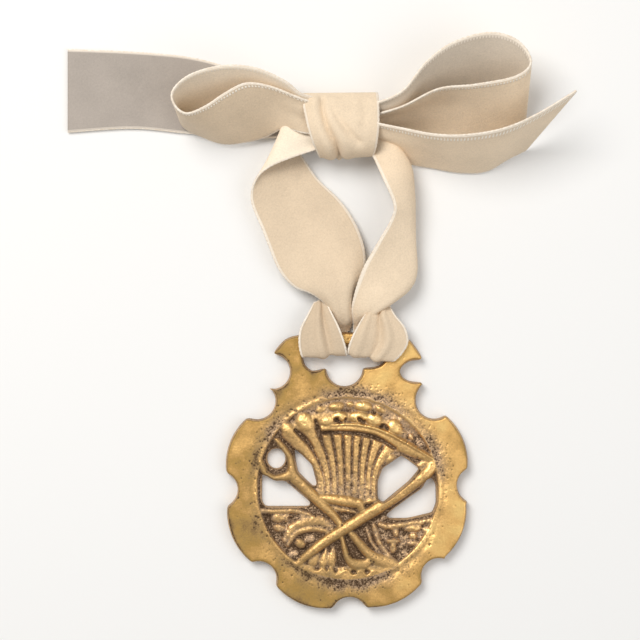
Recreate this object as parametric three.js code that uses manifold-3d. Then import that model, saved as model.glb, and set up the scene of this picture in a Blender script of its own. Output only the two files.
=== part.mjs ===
// Horse brass: a pierced, sand-cast brass medallion on a velvet ribbon tied in a bow.
// Millimetres, +Z up. The object lies on its back: the origin is the middle of the medallion on the
// casting's flat back, +Y runs from the medallion to the hanger and the bow, and +Z is the front.

import * as THREE from 'three';
import { mergeVertices } from 'three/addons/utils/BufferGeometryUtils.js';
import Module from 'manifold-3d';

const wasm = await Module();
wasm.setup();

// ---------------------------------------------------------------- driving dimensions

// the six rim lobes, clockwise from the hanger's right
const lobeRadii = [38.5, 37.9, 38.4, 38.5, 38.5, 38.6];
const lobeCornerDrop = 1.2;         // how much lower a lobe is at its corners, before they are rounded
const notchStep = 45;               // degrees between the notches of the rim
const notchTurn = 1;                // degrees that the whole row of notches is turned
const biteRadius = 5.4;             // round bite of each notch
const biteCentreRadius = 39.0;
const rimFace = 3.8;                // height of the rim's front face
const hangerBack = 1.6;             // the hanger's back stands this far forward of the disc's back
const hangerStepY = 38.6;           // where that thinner hanger begins
const wallDraft = 0.35;             // lean of the outer walls over their height
const edgeRound = 0.5;              // rounding of the front edges
const medallionRadius = 27.8;
const groundFace = 2.3;             // sunk ground of the medallion
const filletHalfWidth = 0.55;       // thin raised line round the medallion
const filletTop = 4.05;
const outlineStep = 1.25;           // spacing of the outline's points
const cornerSmoothing = 6;          // passes that round the outline's corners
const reliefFoot = 1.0;             // relief solids reach down into the plate to here

const ribbonThickness = 1.1;        // the soft solid's own thickness, fuller than the cloth
const degree = Math.PI / 180;

// ---------------------------------------------------------------- curves and outlines

// A Catmull-Rom curve through rows of any number of components, as `count` + 1 rows.
function smoothRows(rows, count) {
  const result = [];
  for (let step = 0; step <= count; step += 1) {
    const place = (step / count) * (rows.length - 1);
    const index = Math.min(Math.floor(place), rows.length - 2);
    const part = place - index;
    const before = rows[Math.max(index - 1, 0)];
    const from = rows[index];
    const to = rows[index + 1];
    const after = rows[Math.min(index + 2, rows.length - 1)];
    result.push(from.map((value, axis) => {
      const slopeIn = (to[axis] - before[axis]) / 2;
      const slopeOut = (after[axis] - value) / 2;
      const square = part * part;
      const cube = square * part;
      return (2 * cube - 3 * square + 1) * value + (cube - 2 * square + part) * slopeIn
        + (3 * square - 2 * cube) * to[axis] + (cube - square) * slopeOut;
    }));
  }
  return result;
}

function arcPoints(centreX, centreY, radius, fromAngle, toAngle, count) {
  const points = [];
  for (let step = 0; step <= count; step += 1) {
    const angle = (fromAngle + ((toAngle - fromAngle) * step) / count) * degree;
    points.push([centreX + radius * Math.cos(angle), centreY + radius * Math.sin(angle)]);
  }
  return points;
}

// Points at an even spacing along a closed outline.
function evenly(points, spacing) {
  const closed = [...points, points[0]];
  const lengths = [0];
  for (let index = 1; index < closed.length; index += 1) {
    lengths.push(lengths[index - 1] + distance(closed[index - 1], closed[index]));
  }
  const total = lengths[lengths.length - 1];
  const count = Math.round(total / spacing);
  const result = [];
  let segment = 0;
  for (let step = 0; step < count; step += 1) {
    const along = (total * step) / count;
    while (lengths[segment + 1] < along) segment += 1;
    const part = (along - lengths[segment]) / (lengths[segment + 1] - lengths[segment]);
    const next = closed[segment + 1];
    result.push(closed[segment].map((value, axis) => value + part * (next[axis] - value)));
  }
  return result;
}

// Leaves out the points that lie on a straight run, or nearly so.
function thinned(points) {
  const tolerance = 0.012;
  const kept = [points[0]];
  for (let index = 1; index < points.length; index += 1) {
    const [fromX, fromY] = kept[kept.length - 1];
    const [x, y] = points[index];
    const [toX, toY] = points[(index + 1) % points.length];
    const length = Math.hypot(toX - fromX, toY - fromY);
    const offset = Math.abs((toX - fromX) * (y - fromY) - (toY - fromY) * (x - fromX)) / length;
    if (offset > tolerance) kept.push(points[index]);
  }
  return kept;
}

// Rounds the corners of a closed outline and thins it to its final spacing.
function rounded(points, spacing = outlineStep) {
  const perPoint = 3;
  let fine = evenly(points, spacing / perPoint);
  for (let pass = 0; pass < cornerSmoothing; pass += 1) {
    fine = fine.map((point, index) => {
      const before = fine[(index + fine.length - 1) % fine.length];
      const after = fine[(index + 1) % fine.length];
      return point.map((value, axis) => (before[axis] + 2 * value + after[axis]) / 4);
    });
  }
  return thinned(fine.filter((point, index) => index % perPoint === 0));
}

function signedArea(points) {
  let area = 0;
  points.forEach(([x, y], index) => {
    const [nextX, nextY] = points[(index + 1) % points.length];
    area += (x * nextY - nextX * y) / 2;
  });
  return area;
}

function counterClockwise(points) {
  return signedArea(points) < 0 ? [...points].reverse() : points;
}

function distance([fromX, fromY], [toX, toY]) {
  return Math.hypot(toX - fromX, toY - fromY);
}

// The outline moved inward by `inset`, less at a narrow tip; a negative inset moves it outward.
function moved(points, inset) {
  const reach = 2;
  return points.map((point, index) => {
    const at = (step) => points[(index + step + points.length) % points.length];
    let path = 0;
    for (let step = -reach; step < reach; step += 1) path += distance(at(step), at(step + 1));
    const room = (distance(at(-reach), at(reach)) / path) ** 5;
    const alongX = at(1)[0] - at(-1)[0];
    const alongY = at(1)[1] - at(-1)[1];
    const shift = (inset * room) / Math.hypot(alongX, alongY);
    return [point[0] - shift * alongY, point[1] + shift * alongX];
  });
}

// ---------------------------------------------------------------- closed solids

function closedGeometry(vertices, triangles) {
  const geometry = new THREE.BufferGeometry();
  geometry.setAttribute('position', new THREE.BufferAttribute(new Float32Array(vertices.flat()), 3));
  geometry.setIndex(triangles.flat());
  return geometry;
}

function solidFrom(geometry) {
  geometry.deleteAttribute('normal');
  geometry.deleteAttribute('uv');
  const merged = mergeVertices(geometry, 1e-4);
  return new wasm.Manifold(new wasm.Mesh({
    numProp: 3,
    vertProperties: new Float32Array(merged.attributes.position.array),
    triVerts: new Uint32Array(merged.index.array),
  }));
}

function geometryFrom(solid) {
  const mesh = solid.getMesh();
  const geometry = new THREE.BufferGeometry();
  geometry.setAttribute('position', new THREE.BufferAttribute(new Float32Array(mesh.vertProperties), 3));
  geometry.setIndex([...mesh.triVerts]);
  geometry.computeVertexNormals();
  return geometry;
}

function joined(solids) {
  return solids.reduce((whole, solid) => whole.add(solid));
}

// A prism whose outline is moved inward a little more at each level, so its walls lean and round over.
function prism(outline, levels) {
  const points = counterClockwise(outline);
  const vertices = [];
  levels.forEach(([height, inset]) => {
    moved(points, inset).forEach(([x, y]) => vertices.push([x, y, height]));
  });
  const count = points.length;
  const triangles = [];
  for (let level = 0; level < levels.length - 1; level += 1) {
    for (let index = 0; index < count; index += 1) {
      const next = (index + 1) % count;
      const low = level * count;
      const high = low + count;
      triangles.push([low + index, low + next, high + next]);
      triangles.push([low + index, high + next, high + index]);
    }
  }
  const cap = THREE.ShapeUtils.triangulateShape(points.map(([x, y]) => new THREE.Vector2(x, y)), []);
  const top = (levels.length - 1) * count;
  cap.forEach(([a, b, c]) => triangles.push([a, c, b], [top + a, top + b, top + c]));
  return solidFrom(closedGeometry(vertices, triangles));
}

// A closed solid through rings of equal size; each ring runs counter-clockwise seen from its end.
function loft(rings) {
  const size = rings[0].length;
  const triangles = [];
  for (let ring = 0; ring < rings.length - 1; ring += 1) {
    for (let index = 0; index < size; index += 1) {
      const next = (index + 1) % size;
      const low = ring * size;
      const high = low + size;
      triangles.push([low + index, low + next, high + next]);
      triangles.push([low + index, high + next, high + index]);
    }
  }
  const last = (rings.length - 1) * size;
  for (let index = 1; index < size - 1; index += 1) {
    triangles.push([0, index + 1, index]);
    triangles.push([last, last + index, last + index + 1]);
  }
  return solidFrom(closedGeometry(rings.flat(), triangles));
}

// A raised ridge of the relief: rows of x, y, half width and top height, with sloping sides.
function ridge(rows, count) {
  const stations = smoothRows(rows, count);
  const footSpread = 1.2;
  const crown = 0.5;
  return loft(stations.map(([x, y, halfWidth, top], index) => {
    const before = stations[Math.max(index - 1, 0)];
    const after = stations[Math.min(index + 1, stations.length - 1)];
    const length = Math.hypot(after[0] - before[0], after[1] - before[1]);
    const sideX = -(after[1] - before[1]) / length;
    const sideY = (after[0] - before[0]) / length;
    const corner = (share, height) => [
      x + sideX * halfWidth * share, y + sideY * halfWidth * share, height,
    ];
    return [
      corner(footSpread, reliefFoot),
      corner(-footSpread, reliefFoot),
      corner(-crown, top),
      corner(crown, top),
    ].reverse();
  }));
}

// A rounded lump of the relief, such as an ear of corn.
function lump(x, y, lengthRadius, widthRadius, top, turn = 0) {
  const foot = 1.8;
  const geometry = new THREE.SphereGeometry(1, 8, 4);
  geometry.rotateX(Math.PI / 2);
  geometry.scale(lengthRadius, widthRadius, top - foot);
  geometry.rotateZ(turn * degree);
  geometry.translate(x, y, foot);
  return solidFrom(geometry);
}

// ---------------------------------------------------------------- the casting's outline

function biteCentre(angle) {
  return [biteCentreRadius * Math.cos(angle * degree), biteCentreRadius * Math.sin(angle * degree)];
}

// The round bite of one notch, from its corner at the higher angle to its corner at the lower one.
function notchBite(angle) {
  const [x, y] = biteCentre(angle);
  const reach = 112;
  return arcPoints(x, y, biteRadius, angle + reach, angle + 360 - reach, 10);
}

// One lobe of the rim, running clockwise between two notches.
function lobe(middleRadius, fromAngle, toAngle) {
  const count = 12;
  const points = [];
  for (let step = 0; step <= count; step += 1) {
    const share = (2 * step) / count - 1;
    const angle = (fromAngle + ((toAngle - fromAngle) * step) / count) * degree;
    const radius = middleRadius - lobeCornerDrop * share * share;
    points.push([radius * Math.cos(angle), radius * Math.sin(angle)]);
  }
  return points;
}

// The hanger, from the notch at its left over the top to the notch at its right.
function hangerOutline() {
  const leftTooth = [-24.2, 30.5];
  const leftBite = arcPoints(-22.9, 35.5, biteRadius, -88, 85, 10);
  const top = smoothRows([
    [-22.8, 41.0], [-20.5, 44.0], [-17.4, 46.2], [-10, 47.2], [0, 47.6], [10, 47.1], [17.8, 46.0],
    [20.6, 43.4], [23.0, 39.7],
  ], 24);
  const rightBite = smoothRows([
    [22.6, 39.0], [19.4, 38.8], [16.9, 37.2], [16.0, 35.4], [17.3, 33.4], [19.6, 32.5], [23.2, 32.2],
  ], 14);
  return [leftTooth, ...leftBite, ...top, ...rightBite];
}

function castingOutline() {
  const halfNotch = 7.8;
  const hangerNotch = 9.1;
  const angles = [1, 0, -1, -2, -3, -4, -5].map((step) => step * notchStep + notchTurn);
  const rightBite = arcPoints(26.6, 26.7, 5.7, 152, 303, 12);
  const leftBite = arcPoints(-27.7, 26.5, 5.7, 247, 399, 12);
  const points = [...hangerOutline(), ...rightBite];
  angles.slice(0, -1).forEach((angle, index) => {
    const isLast = index === lobeRadii.length - 1;
    const from = angle - (index === 0 ? hangerNotch : halfNotch);
    const to = angles[index + 1] + (isLast ? hangerNotch : halfNotch);
    points.push(...lobe(lobeRadii[index], from, to));
    if (!isLast) points.push(...notchBite(angles[index + 1]));
  });
  return rounded([...points, ...leftBite]);
}

// ---------------------------------------------------------------- the pierced openings

function strapSlot() {
  const keyway = arcPoints(-0.9, 36.6, 5.6, 0, -180, 14);
  return [
    [-13.6, 39.4], [-13.5, 41.4], [-12.2, 43.0], [-10.0, 43.4], [8.6, 43.3], [10.9, 42.5], [11.9, 40.8],
    [11.5, 38.8], [10.0, 37.4], [8.2, 36.9], ...keyway, [-9.3, 35.9], [-10.9, 35.7], [-12.3, 36.7],
    [-13.2, 38.0],
  ];
}

function openingOutlines() {
  const ringHole = arcPoints(0, 0, 1, 0, 340, 17).map(([x, y]) => [-21.8 + 2.8 * x, 8.9 + 3.1 * y]);
  const slit = [[-16.1, 12.0], [-10.9, 6.9], [-9.3, 0.7], [-10.4, 0.3], [-15.1, 4.9], [-16.1, 10.1]];
  const leftLower = [
    [-26.1, 4.3], [-22.6, 2.0], [-19.1, 2.0], [-11.2, -4.7], [-11.7, -5.7], [-25.2, -5.7],
    [-26.2, -4.0],
  ];
  const rightUpper = [
    [16.6, 9.8], [22.0, 5.8], [18.8, 2.0], [10.8, -4.6], [9.3, -3.5], [9.3, 1.8], [10.8, 5.8],
    [13.9, 7.9],
  ];
  const rightLower = [
    [25.9, 3.1], [27.0, 1.0], [27.1, -4.6], [26.0, -7.6], [18.5, -9.4], [12.4, -9.4], [11.7, -8.5],
    [18.5, -3.4], [23.0, -0.3], [24.3, 2.3],
  ];
  const holeStep = 1.0;
  const outlines = [ringHole, slit, leftLower, rightUpper, rightLower, strapSlot()];
  return outlines.map((points) => rounded(points, holeStep));
}

// ---------------------------------------------------------------- the relief

function toolRelief() {
  const shaft = [
    [-17.0, 4.3, 1.6, 4.3], [-11.0, -1.9, 1.3, 4.6], [-3.8, -8.9, 1.0, 4.4], [-2.2, -11.8, 0.9, 4.0],
  ];
  const ringLeft = [
    [-26.6, 8.0, 0.8, 4.2], [-24.8, 4.4, 0.8, 4.3], [-22.0, 2.9, 0.9, 4.4], [-18.4, 3.6, 1.1, 4.4],
  ];
  const ringRight = [
    [-17.2, 4.4, 1.1, 4.4], [-17.2, 8.2, 0.9, 4.3], [-19.4, 12.0, 0.8, 4.2], [-21.6, 14.6, 0.7, 4.0],
  ];
  const blade = [
    [1.4, -14.2, 0.9, 4.2], [6.7, -20.2, 1.2, 4.4], [11.0, -22.6, 1.6, 4.2], [15.6, -23.9, 1.1, 3.9],
  ];
  const mouth = [
    [-1.7, -15.2, 0.6, 4.2], [-0.4, -19.2, 0.8, 4.3], [1.4, -22.0, 1.0, 4.4], [4.2, -22.6, 1.0, 4.4],
    [6.6, -21.2, 0.8, 4.2],
  ];
  const crescent = [
    [-16.6, -22.9, 0.7, 3.8], [-8.0, -26.4, 1.5, 4.1], [0.8, -27.0, 2.0, 4.2], [9.0, -26.2, 1.8, 4.1],
    [16.0, -23.8, 0.8, 3.9],
  ];
  return [
    ridge(shaft, 6), ridge(ringLeft, 7), ridge(ringRight, 6),
    ridge(blade, 6), ridge(mouth, 7), ridge(crescent, 10),
  ];
}

function scytheRelief() {
  const snath = [
    [26.2, 7.4, 1.2, 4.2], [23.7, 4.0, 1.3, 4.6], [14.5, -2.7, 1.35, 4.8], [4.7, -8.9, 1.35, 4.9],
    [-1.4, -12.8, 1.3, 4.9], [-8.4, -17.4, 1.2, 4.7], [-15.7, -23.5, 0.9, 4.1],
  ];
  const underBar = [
    [25.2, 8.8, 0.9, 3.9], [21.4, 5.6, 0.9, 3.9], [14.5, -0.5, 0.8, 3.7], [9.9, -5.2, 0.7, 3.5],
  ];
  const blade = [
    [26.2, 8.6, 0.9, 4.2], [17.6, 12.6, 1.3, 4.5], [13.0, 15.5, 1.6, 4.7], [7.5, 17.8, 1.3, 4.6],
    [0.8, 19.0, 1.0, 4.5], [-4.9, 19.1, 0.7, 4.3],
  ];
  return [ridge(snath, 10), ridge(underBar, 5), ridge(blade, 9)];
}

function sheafRelief() {
  const body = [
    [-9.9, -5.5], [-9.9, 0.4], [-11.3, 6.8], [-16.4, 12.2], [-21.4, 17.2], [-16.0, 21.6], [-8.0, 24.4],
    [4.0, 25.4], [13.0, 22.6], [18.6, 17.0], [17.0, 10.4], [13.9, 8.4], [10.4, 6.0], [9.0, 2.0],
    [9.0, -5.5],
  ];
  const pad = prism(rounded(body, 1.6), [[reliefFoot, 0], [2.9, 0.1], [3.2, 0.5]]);
  const stalkCount = 9;
  const stalks = [];
  for (let index = 0; index < stalkCount; index += 1) {
    const share = index / (stalkCount - 1);
    const foot = -6.9 + 14.6 * share;
    const spread = 1 - share;
    const head = foot * 1.25 + 1.0 - 11.5 * spread ** 3;
    const headY = 16.4 + 1.2 * spread;
    const bow = -2.2 * spread ** 2;
    stalks.push(ridge([
      [foot, -2.4, 0.55, 3.9], [foot + bow * 0.25, 3.6, 0.6, 4.1],
      [(foot + head) / 2 + bow * -0.2, 10.2, 0.65, 4.1], [head, headY, 0.8, 4.0],
    ], 4));
  }
  const tie = ridge(
    [[-9.4, -3.0, 0.8, 4.3], [-4.6, -3.5, 1.0, 4.5], [0.6, -4.2, 1.1, 4.5], [4.0, -5.0, 0.9, 4.3]], 5,
  );
  const knotEnd = ridge([[3.6, -4.6, 1.0, 4.4], [4.6, -6.8, 0.8, 4.1], [6.2, -9.0, 0.5, 3.8]], 3);
  return [pad, ...stalks, tie, knotEnd];
}

function earRelief() {
  const ears = [
    [-18.2, 17.2, 2.3, 1.5, 4.5, 35], [-13.2, 20.4, 2.3, 1.6, 4.7, 60], [-7.4, 21.2, 3.2, 1.2, 4.6, 20],
    [-2.4, 21.8, 2.0, 1.2, 4.5, 0], [3.6, 21.6, 2.6, 1.3, 4.6, 0], [8.1, 20.9, 1.9, 1.6, 4.6, -20],
    [14.2, 18.4, 2.0, 1.7, 4.5, -50], [-3.4, 24.9, 1.9, 1.0, 4.3, 8], [4.9, 24.9, 2.0, 1.2, 4.4, -4],
    [13.2, 8.9, 1.5, 1.1, 3.9, 40], [15.6, 12.0, 1.2, 0.9, 3.8, 20],
  ];
  return ears.map((values) => lump(...values));
}

function groundRelief() {
  const arcs = [
    [[-19.1, -15.8, 0.5, 3.3], [-16.5, -12.2, 0.7, 3.6], [-11.4, -10.4, 0.8, 3.7],
     [-7.2, -10.8, 0.8, 3.6], [-4.4, -12.5, 0.6, 3.4]],
    [[-18.2, -17.4, 0.4, 3.5], [-15.8, -13.9, 0.6, 3.8], [-12.2, -12.6, 0.6, 3.9],
     [-8.4, -12.7, 0.6, 3.8], [-5.2, -13.8, 0.5, 3.6]],
  ];
  const leaves = [
    [[-11.9, -24.2, 0.4, 3.2], [-10.4, -22.4, 1.0, 3.8], [-8.6, -20.2, 0.3, 3.2]],
    [[-8.3, -24.9, 0.4, 3.2], [-7.2, -22.2, 0.9, 3.8], [-6.4, -18.8, 0.3, 3.2]],
    [[-4.7, -25.0, 0.4, 3.2], [-4.9, -22.0, 0.9, 3.8], [-4.2, -18.2, 0.3, 3.2]],
  ];
  const leftBank = [
    [-26.0, -7.0, 0.6, 3.7], [-20.0, -7.1, 0.6, 3.8], [-16.4, -6.9, 0.6, 3.7], [-11.6, -8.2, 0.5, 3.6],
  ];
  const rightBank = [
    [10.0, -11.2, 0.5, 3.6], [12.6, -11.9, 0.6, 3.7], [17.0, -11.3, 0.6, 3.7], [25.2, -10.0, 0.5, 3.6],
  ];
  const rightStalk = [
    [7.9, -11.4, 0.5, 3.4], [9.6, -16.4, 0.5, 3.5], [12.2, -20.2, 0.5, 3.4], [15.7, -23.4, 0.5, 3.5],
  ];
  const lumps = [
    [-21.2, -9.4, 1.7, 1.2, 3.7, 0], [-20.7, -12.4, 1.2, 0.9, 3.5, 0],
    [-14.4, -16.9, 1.6, 1.1, 4.0, -40], [14.1, -14.6, 1.2, 1.0, 3.7, 0],
    [14.1, -17.2, 1.0, 1.5, 3.8, 0], [20.5, -12.4, 1.9, 0.9, 3.7, 8], [19.6, -16.2, 1.3, 1.0, 3.5, 0],
  ];
  return [
    ...arcs.map((rows) => ridge(rows, 7)), ...leaves.map((rows) => ridge(rows, 3)), ridge(leftBank, 5),
    ridge(rightBank, 5), ridge(rightStalk, 5), ...lumps.map((values) => lump(...values)),
  ];
}

// ---------------------------------------------------------------- the casting

function medallionFillet() {
  const inner = medallionRadius - filletHalfWidth;
  const outer = medallionRadius + filletHalfWidth;
  const crown = 0.2;
  const profile = [
    [inner, reliefFoot], [outer, reliefFoot], [medallionRadius + crown, filletTop],
    [medallionRadius - crown, filletTop], [inner, reliefFoot],
  ].map(([radius, height]) => new THREE.Vector2(radius, height));
  const geometry = new THREE.LatheGeometry(profile, 56);
  geometry.rotateX(Math.PI / 2);
  return solidFrom(geometry);
}

function brassCasting() {
  const plate = prism(castingOutline(), [
    [0, 0], [rimFace - edgeRound, wallDraft], [rimFace - edgeRound * 0.3, wallDraft + edgeRound * 0.3],
    [rimFace, wallDraft + edgeRound],
  ]);
  const sinkDepth = 10;
  const sinkGeometry = new THREE.CylinderGeometry(medallionRadius, medallionRadius - 0.3, sinkDepth, 56);
  sinkGeometry.rotateX(Math.PI / 2);
  sinkGeometry.translate(0, 0, groundFace + sinkDepth / 2);
  const backGeometry = new THREE.BoxGeometry(60, 20, 2 * hangerBack);
  backGeometry.translate(0, hangerStepY + 10, 0);
  const relief = joined([
    ...toolRelief(), ...scytheRelief(), ...sheafRelief(), ...earRelief(), ...groundRelief(),
  ]);
  const disc = arcPoints(0, 0, medallionRadius, 0, 354, 59);
  const reliefInside = relief.intersect(prism(disc, [[0, 0], [8, 0]]));
  let solid = plate.subtract(solidFrom(sinkGeometry));
  solid = joined([solid, reliefInside, medallionFillet()]);
  openingOutlines().forEach((outline) => {
    solid = solid.subtract(prism(outline, [
      [-1, 0], [0, 0], [rimFace - edgeRound, -wallDraft], [rimFace, -wallDraft - edgeRound],
      [8, -wallDraft - edgeRound],
    ]));
  });
  return solid.subtract(solidFrom(backGeometry));
}

// ---------------------------------------------------------------- the ribbon

// A stretch of ribbon between its two selvedges, as rows of x, y, z for one and x, y, z for the other.
function stretch(rows, count, thickness = ribbonThickness) {
  const stations = smoothRows(rows, count).map((row) => ({
    left: new THREE.Vector3(...row.slice(0, 3)),
    right: new THREE.Vector3(...row.slice(3, 6)),
  }));
  const middles = stations.map(({ left, right }) => left.clone().add(right).multiplyScalar(0.5));
  return loft(stations.map(({ left, right }, index) => {
    const before = middles[Math.max(index - 1, 0)];
    const after = middles[Math.min(index + 1, middles.length - 1)];
    const along = after.clone().sub(before);
    const across = right.clone().sub(left);
    const half = along.cross(across).normalize().multiplyScalar(thickness / 2);
    return [
      left.clone().add(half), right.clone().add(half), right.clone().sub(half), left.clone().sub(half),
    ].map((point) => point.toArray()).reverse();
  }));
}

function leftTail() {
  return stretch([
    [-85.7, 134.0, 0.8, -85.7, 109.0, 0.8], [-66, 133.2, 0.8, -66, 110.6, 0.8],
    [-48, 131.5, 0.8, -50, 108.8, 0.8], [-34, 127.5, 1.0, -34, 107.6, 0.9],
    [-22, 122.0, 2.2, -22, 107.4, 1.6], [-8, 117.0, 4.0, -8, 110.0, 4.0],
  ], 18);
}

function leftLoop() {
  return stretch([
    [-8, 119.5, 12.0, -8, 112.0, 5.0], [-22, 124.0, 17.0, -20, 113.5, 3.6],
    [-33, 126.5, 18.5, -30, 113.8, 3.0], [-44, 124.6, 19.0, -41, 112.6, 3.0],
    [-51.4, 119.6, 19.0, -46.6, 108.8, 3.0], [-49.6, 114.6, 18.8, -44.4, 105.0, 3.0],
    [-42.0, 115.8, 18.6, -36.4, 103.6, 3.0], [-33.0, 121.0, 18.6, -28.6, 105.6, 3.0],
    [-22, 120.2, 16.6, -18, 108.6, 3.6], [-8, 115.6, 11.0, -8, 110.8, 5.0],
  ], 36);
}

function rightLoop() {
  return stretch([
    [4, 115.4, 11.0, 4, 110.6, 4.0], [15.8, 119.6, 15.5, 15, 110.8, 2.4],
    [23.6, 128.6, 18.0, 23.4, 113.6, 1.6], [32.0, 134.4, 18.8, 31.6, 117.8, 1.4],
    [42.4, 137.0, 19.0, 41.8, 119.6, 1.4], [50.6, 134.6, 19.0, 50.2, 117.2, 1.4],
    [54.6, 128.4, 19.0, 54.2, 110.6, 1.4], [50.0, 124.0, 19.0, 49.4, 107.0, 1.4],
    [38.0, 121.6, 18.6, 37.8, 105.0, 1.4], [27.0, 120.4, 17.6, 27.0, 105.4, 1.4],
    [16.0, 115.2, 13.6, 16.0, 107.6, 2.2], [4, 112.4, 10.0, 4, 108.6, 4.0],
  ], 40);
}

function rightTail() {
  return stretch([
    [4, 111.6, 12.0, 4, 105.4, 4.0], [16.6, 108.6, 17.0, 17.4, 99.8, 1.4],
    [26.0, 106.6, 20.6, 26.2, 98.0, 0.8], [35.4, 106.4, 21.6, 34.6, 96.6, 0.8],
    [46.0, 108.2, 21.6, 42.4, 97.0, 0.8], [56.0, 112.4, 21.2, 49.0, 100.6, 0.8],
    [68.0, 119.6, 20.2, 54.6, 103.4, 0.8],
  ], 20);
}

function leftStrand() {
  const overFold = stretch([
    [-8, 103.4, 9.0, -8, 111.0, 8.0], [-16.0, 101.0, 8.6, -14.6, 108.6, 7.6],
    [-22.6, 98.8, 7.8, -20.6, 106.0, 6.6], [-28.6, 92.4, 6.4, -25.8, 97.8, 5.6],
  ], 8);
  const hanging = stretch([
    [-19.0, 108.6, 6.6, -16.0, 106.0, 3.0], [-24.4, 100.6, 6.4, -12.6, 99.0, 2.6],
    [-28.4, 91.4, 6.2, -5.6, 90.6, 2.6], [-26.8, 82.0, 6.0, 1.0, 82.4, 3.0],
    [-22.6, 71.6, 6.0, 4.4, 74.0, 4.2], [-15.4, 62.8, 6.4, 3.6, 63.8, 5.6],
    [-7.6, 57.2, 5.8, 1.2, 57.0, 5.6], [-5.6, 52.4, 3.0, -0.4, 52.4, 3.0],
    [-6.4, 48.8, 0.75, -1.2, 48.8, 0.75], [-11.0, 43.6, 0.75, -1.6, 43.6, 0.75],
  ], 32);
  return [overFold, hanging];
}

function rightStrand() {
  return stretch([
    [4, 104.6, 10.0, 4, 108.6, 4.0], [9.6, 99.4, 12.0, 15.6, 102.4, 3.6],
    [13.2, 91.0, 13.4, 18.4, 93.4, 2.0], [13.4, 81.6, 12.6, 19.2, 82.6, 1.6],
    [8.6, 73.0, 10.6, 19.2, 73.6, 2.2], [4.2, 64.8, 8.2, 17.6, 65.0, 4.8],
    [2.0, 57.4, 5.8, 11.0, 57.4, 5.6], [1.0, 52.4, 3.0, 6.4, 52.4, 3.0],
    [1.8, 48.8, 0.75, 8.0, 48.8, 0.75], [2.0, 43.6, 0.75, 9.6, 43.6, 0.75],
  ], 30);
}

// The ribbon comes forward through the strap slot and up over the bar's front.
function leftKnuckle() {
  return stretch([
    [-11.0, 43.6, 0.75, -1.6, 43.6, 0.75], [-11.2, 41.2, 0.9, -1.6, 41.2, 0.9],
    [-11.6, 40.4, 2.6, -1.4, 40.4, 2.6], [-12.6, 40.8, 4.8, -0.8, 41.0, 4.8],
    [-13.8, 44.2, 6.0, -0.6, 44.4, 6.0], [-13.2, 48.8, 6.4, -2.2, 48.6, 6.4],
    [-11.4, 53.0, 6.0, -5.0, 52.8, 6.0], [-10.2, 56.2, 4.6, -7.6, 55.4, 4.6],
  ], 16, 1.1);
}

function rightKnuckle() {
  return stretch([
    [2.0, 43.6, 0.75, 9.6, 43.6, 0.75], [2.0, 41.2, 0.9, 9.8, 41.2, 0.9],
    [1.8, 40.4, 2.6, 10.0, 40.2, 2.6], [0.6, 41.2, 4.8, 13.0, 39.4, 4.8],
    [0.6, 44.8, 6.0, 16.8, 43.6, 6.0], [2.8, 48.8, 6.4, 16.6, 48.8, 6.4],
    [5.4, 52.4, 6.0, 13.4, 53.0, 6.0], [8.4, 55.2, 4.6, 11.4, 55.8, 4.6],
  ], 16, 1.1);
}

// The bight of the hitch, gathered, which crosses behind both strands just above the bar.
function crossing() {
  return stretch([
    [-10.2, 56.4, 4.6, -9.2, 53.6, 4.2], [-5.0, 58.4, 3.4, -5.0, 54.4, 2.6],
    [0.4, 59.0, 3.0, 0.4, 54.8, 2.2], [5.6, 58.4, 3.4, 5.6, 54.4, 2.6],
    [11.2, 56.4, 4.6, 10.4, 53.6, 4.2],
  ], 12, 1.8);
}

// The turn that is tied round the middle of the bow.
function bowKnot() {
  const rings = [
    [103.0, 9.4, 4.4, 5.6], [104.6, 10.8, 6.4, 6.6], [109.0, 11.8, 7.4, 7.2], [114.0, 12.0, 7.4, 7.2],
    [118.4, 11.8, 6.4, 6.8], [120.2, 11.2, 4.2, 6.0],
  ];
  const centreX = -2.4;
  const sides = 10;
  return loft(rings.map(([y, halfWidth, halfHeight, middle]) => {
    const ring = [];
    for (let side = 0; side < sides; side += 1) {
      const angle = (side / sides) * 2 * Math.PI;
      const squareness = 0.55;
      const across = Math.sign(Math.cos(angle)) * Math.abs(Math.cos(angle)) ** squareness;
      const up = Math.sign(Math.sin(angle)) * Math.abs(Math.sin(angle)) ** squareness;
      ring.push([centreX + halfWidth * across, y, middle + halfHeight * up]);
    }
    return ring.reverse();
  }));
}

function ribbon() {
  return joined([
    bowKnot(), leftTail(), leftLoop(), rightLoop(), rightTail(),
    ...leftStrand(), rightStrand(), leftKnuckle(),
    rightKnuckle(), crossing(),
  ]);
}

// ---------------------------------------------------------------- the object

function namedMesh(name, solid, color, roughness, metalness) {
  const mesh = new THREE.Mesh(
    geometryFrom(solid),
    new THREE.MeshStandardMaterial({ color, roughness, metalness }),
  );
  mesh.name = name;
  return mesh;
}

const horseBrass = new THREE.Group();
horseBrass.name = 'horse_brass';
horseBrass.add(namedMesh('brass_casting', brassCasting(), 0xb08a3c, 0.42, 1.0));
horseBrass.add(namedMesh('ribbon', ribbon(), 0xe6d3b8, 0.85, 0.0));

export default horseBrass;
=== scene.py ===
# The looks of a horse brass on a velvet ribbon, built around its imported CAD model.
# Shapes are in millimetres in the model's own frame, and become metres when a mesh is made. Lamps and
# textures are in metres.

import math

import bpy
import numpy as np
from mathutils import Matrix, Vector
from mathutils.geometry import delaunay_2d_cdt


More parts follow.
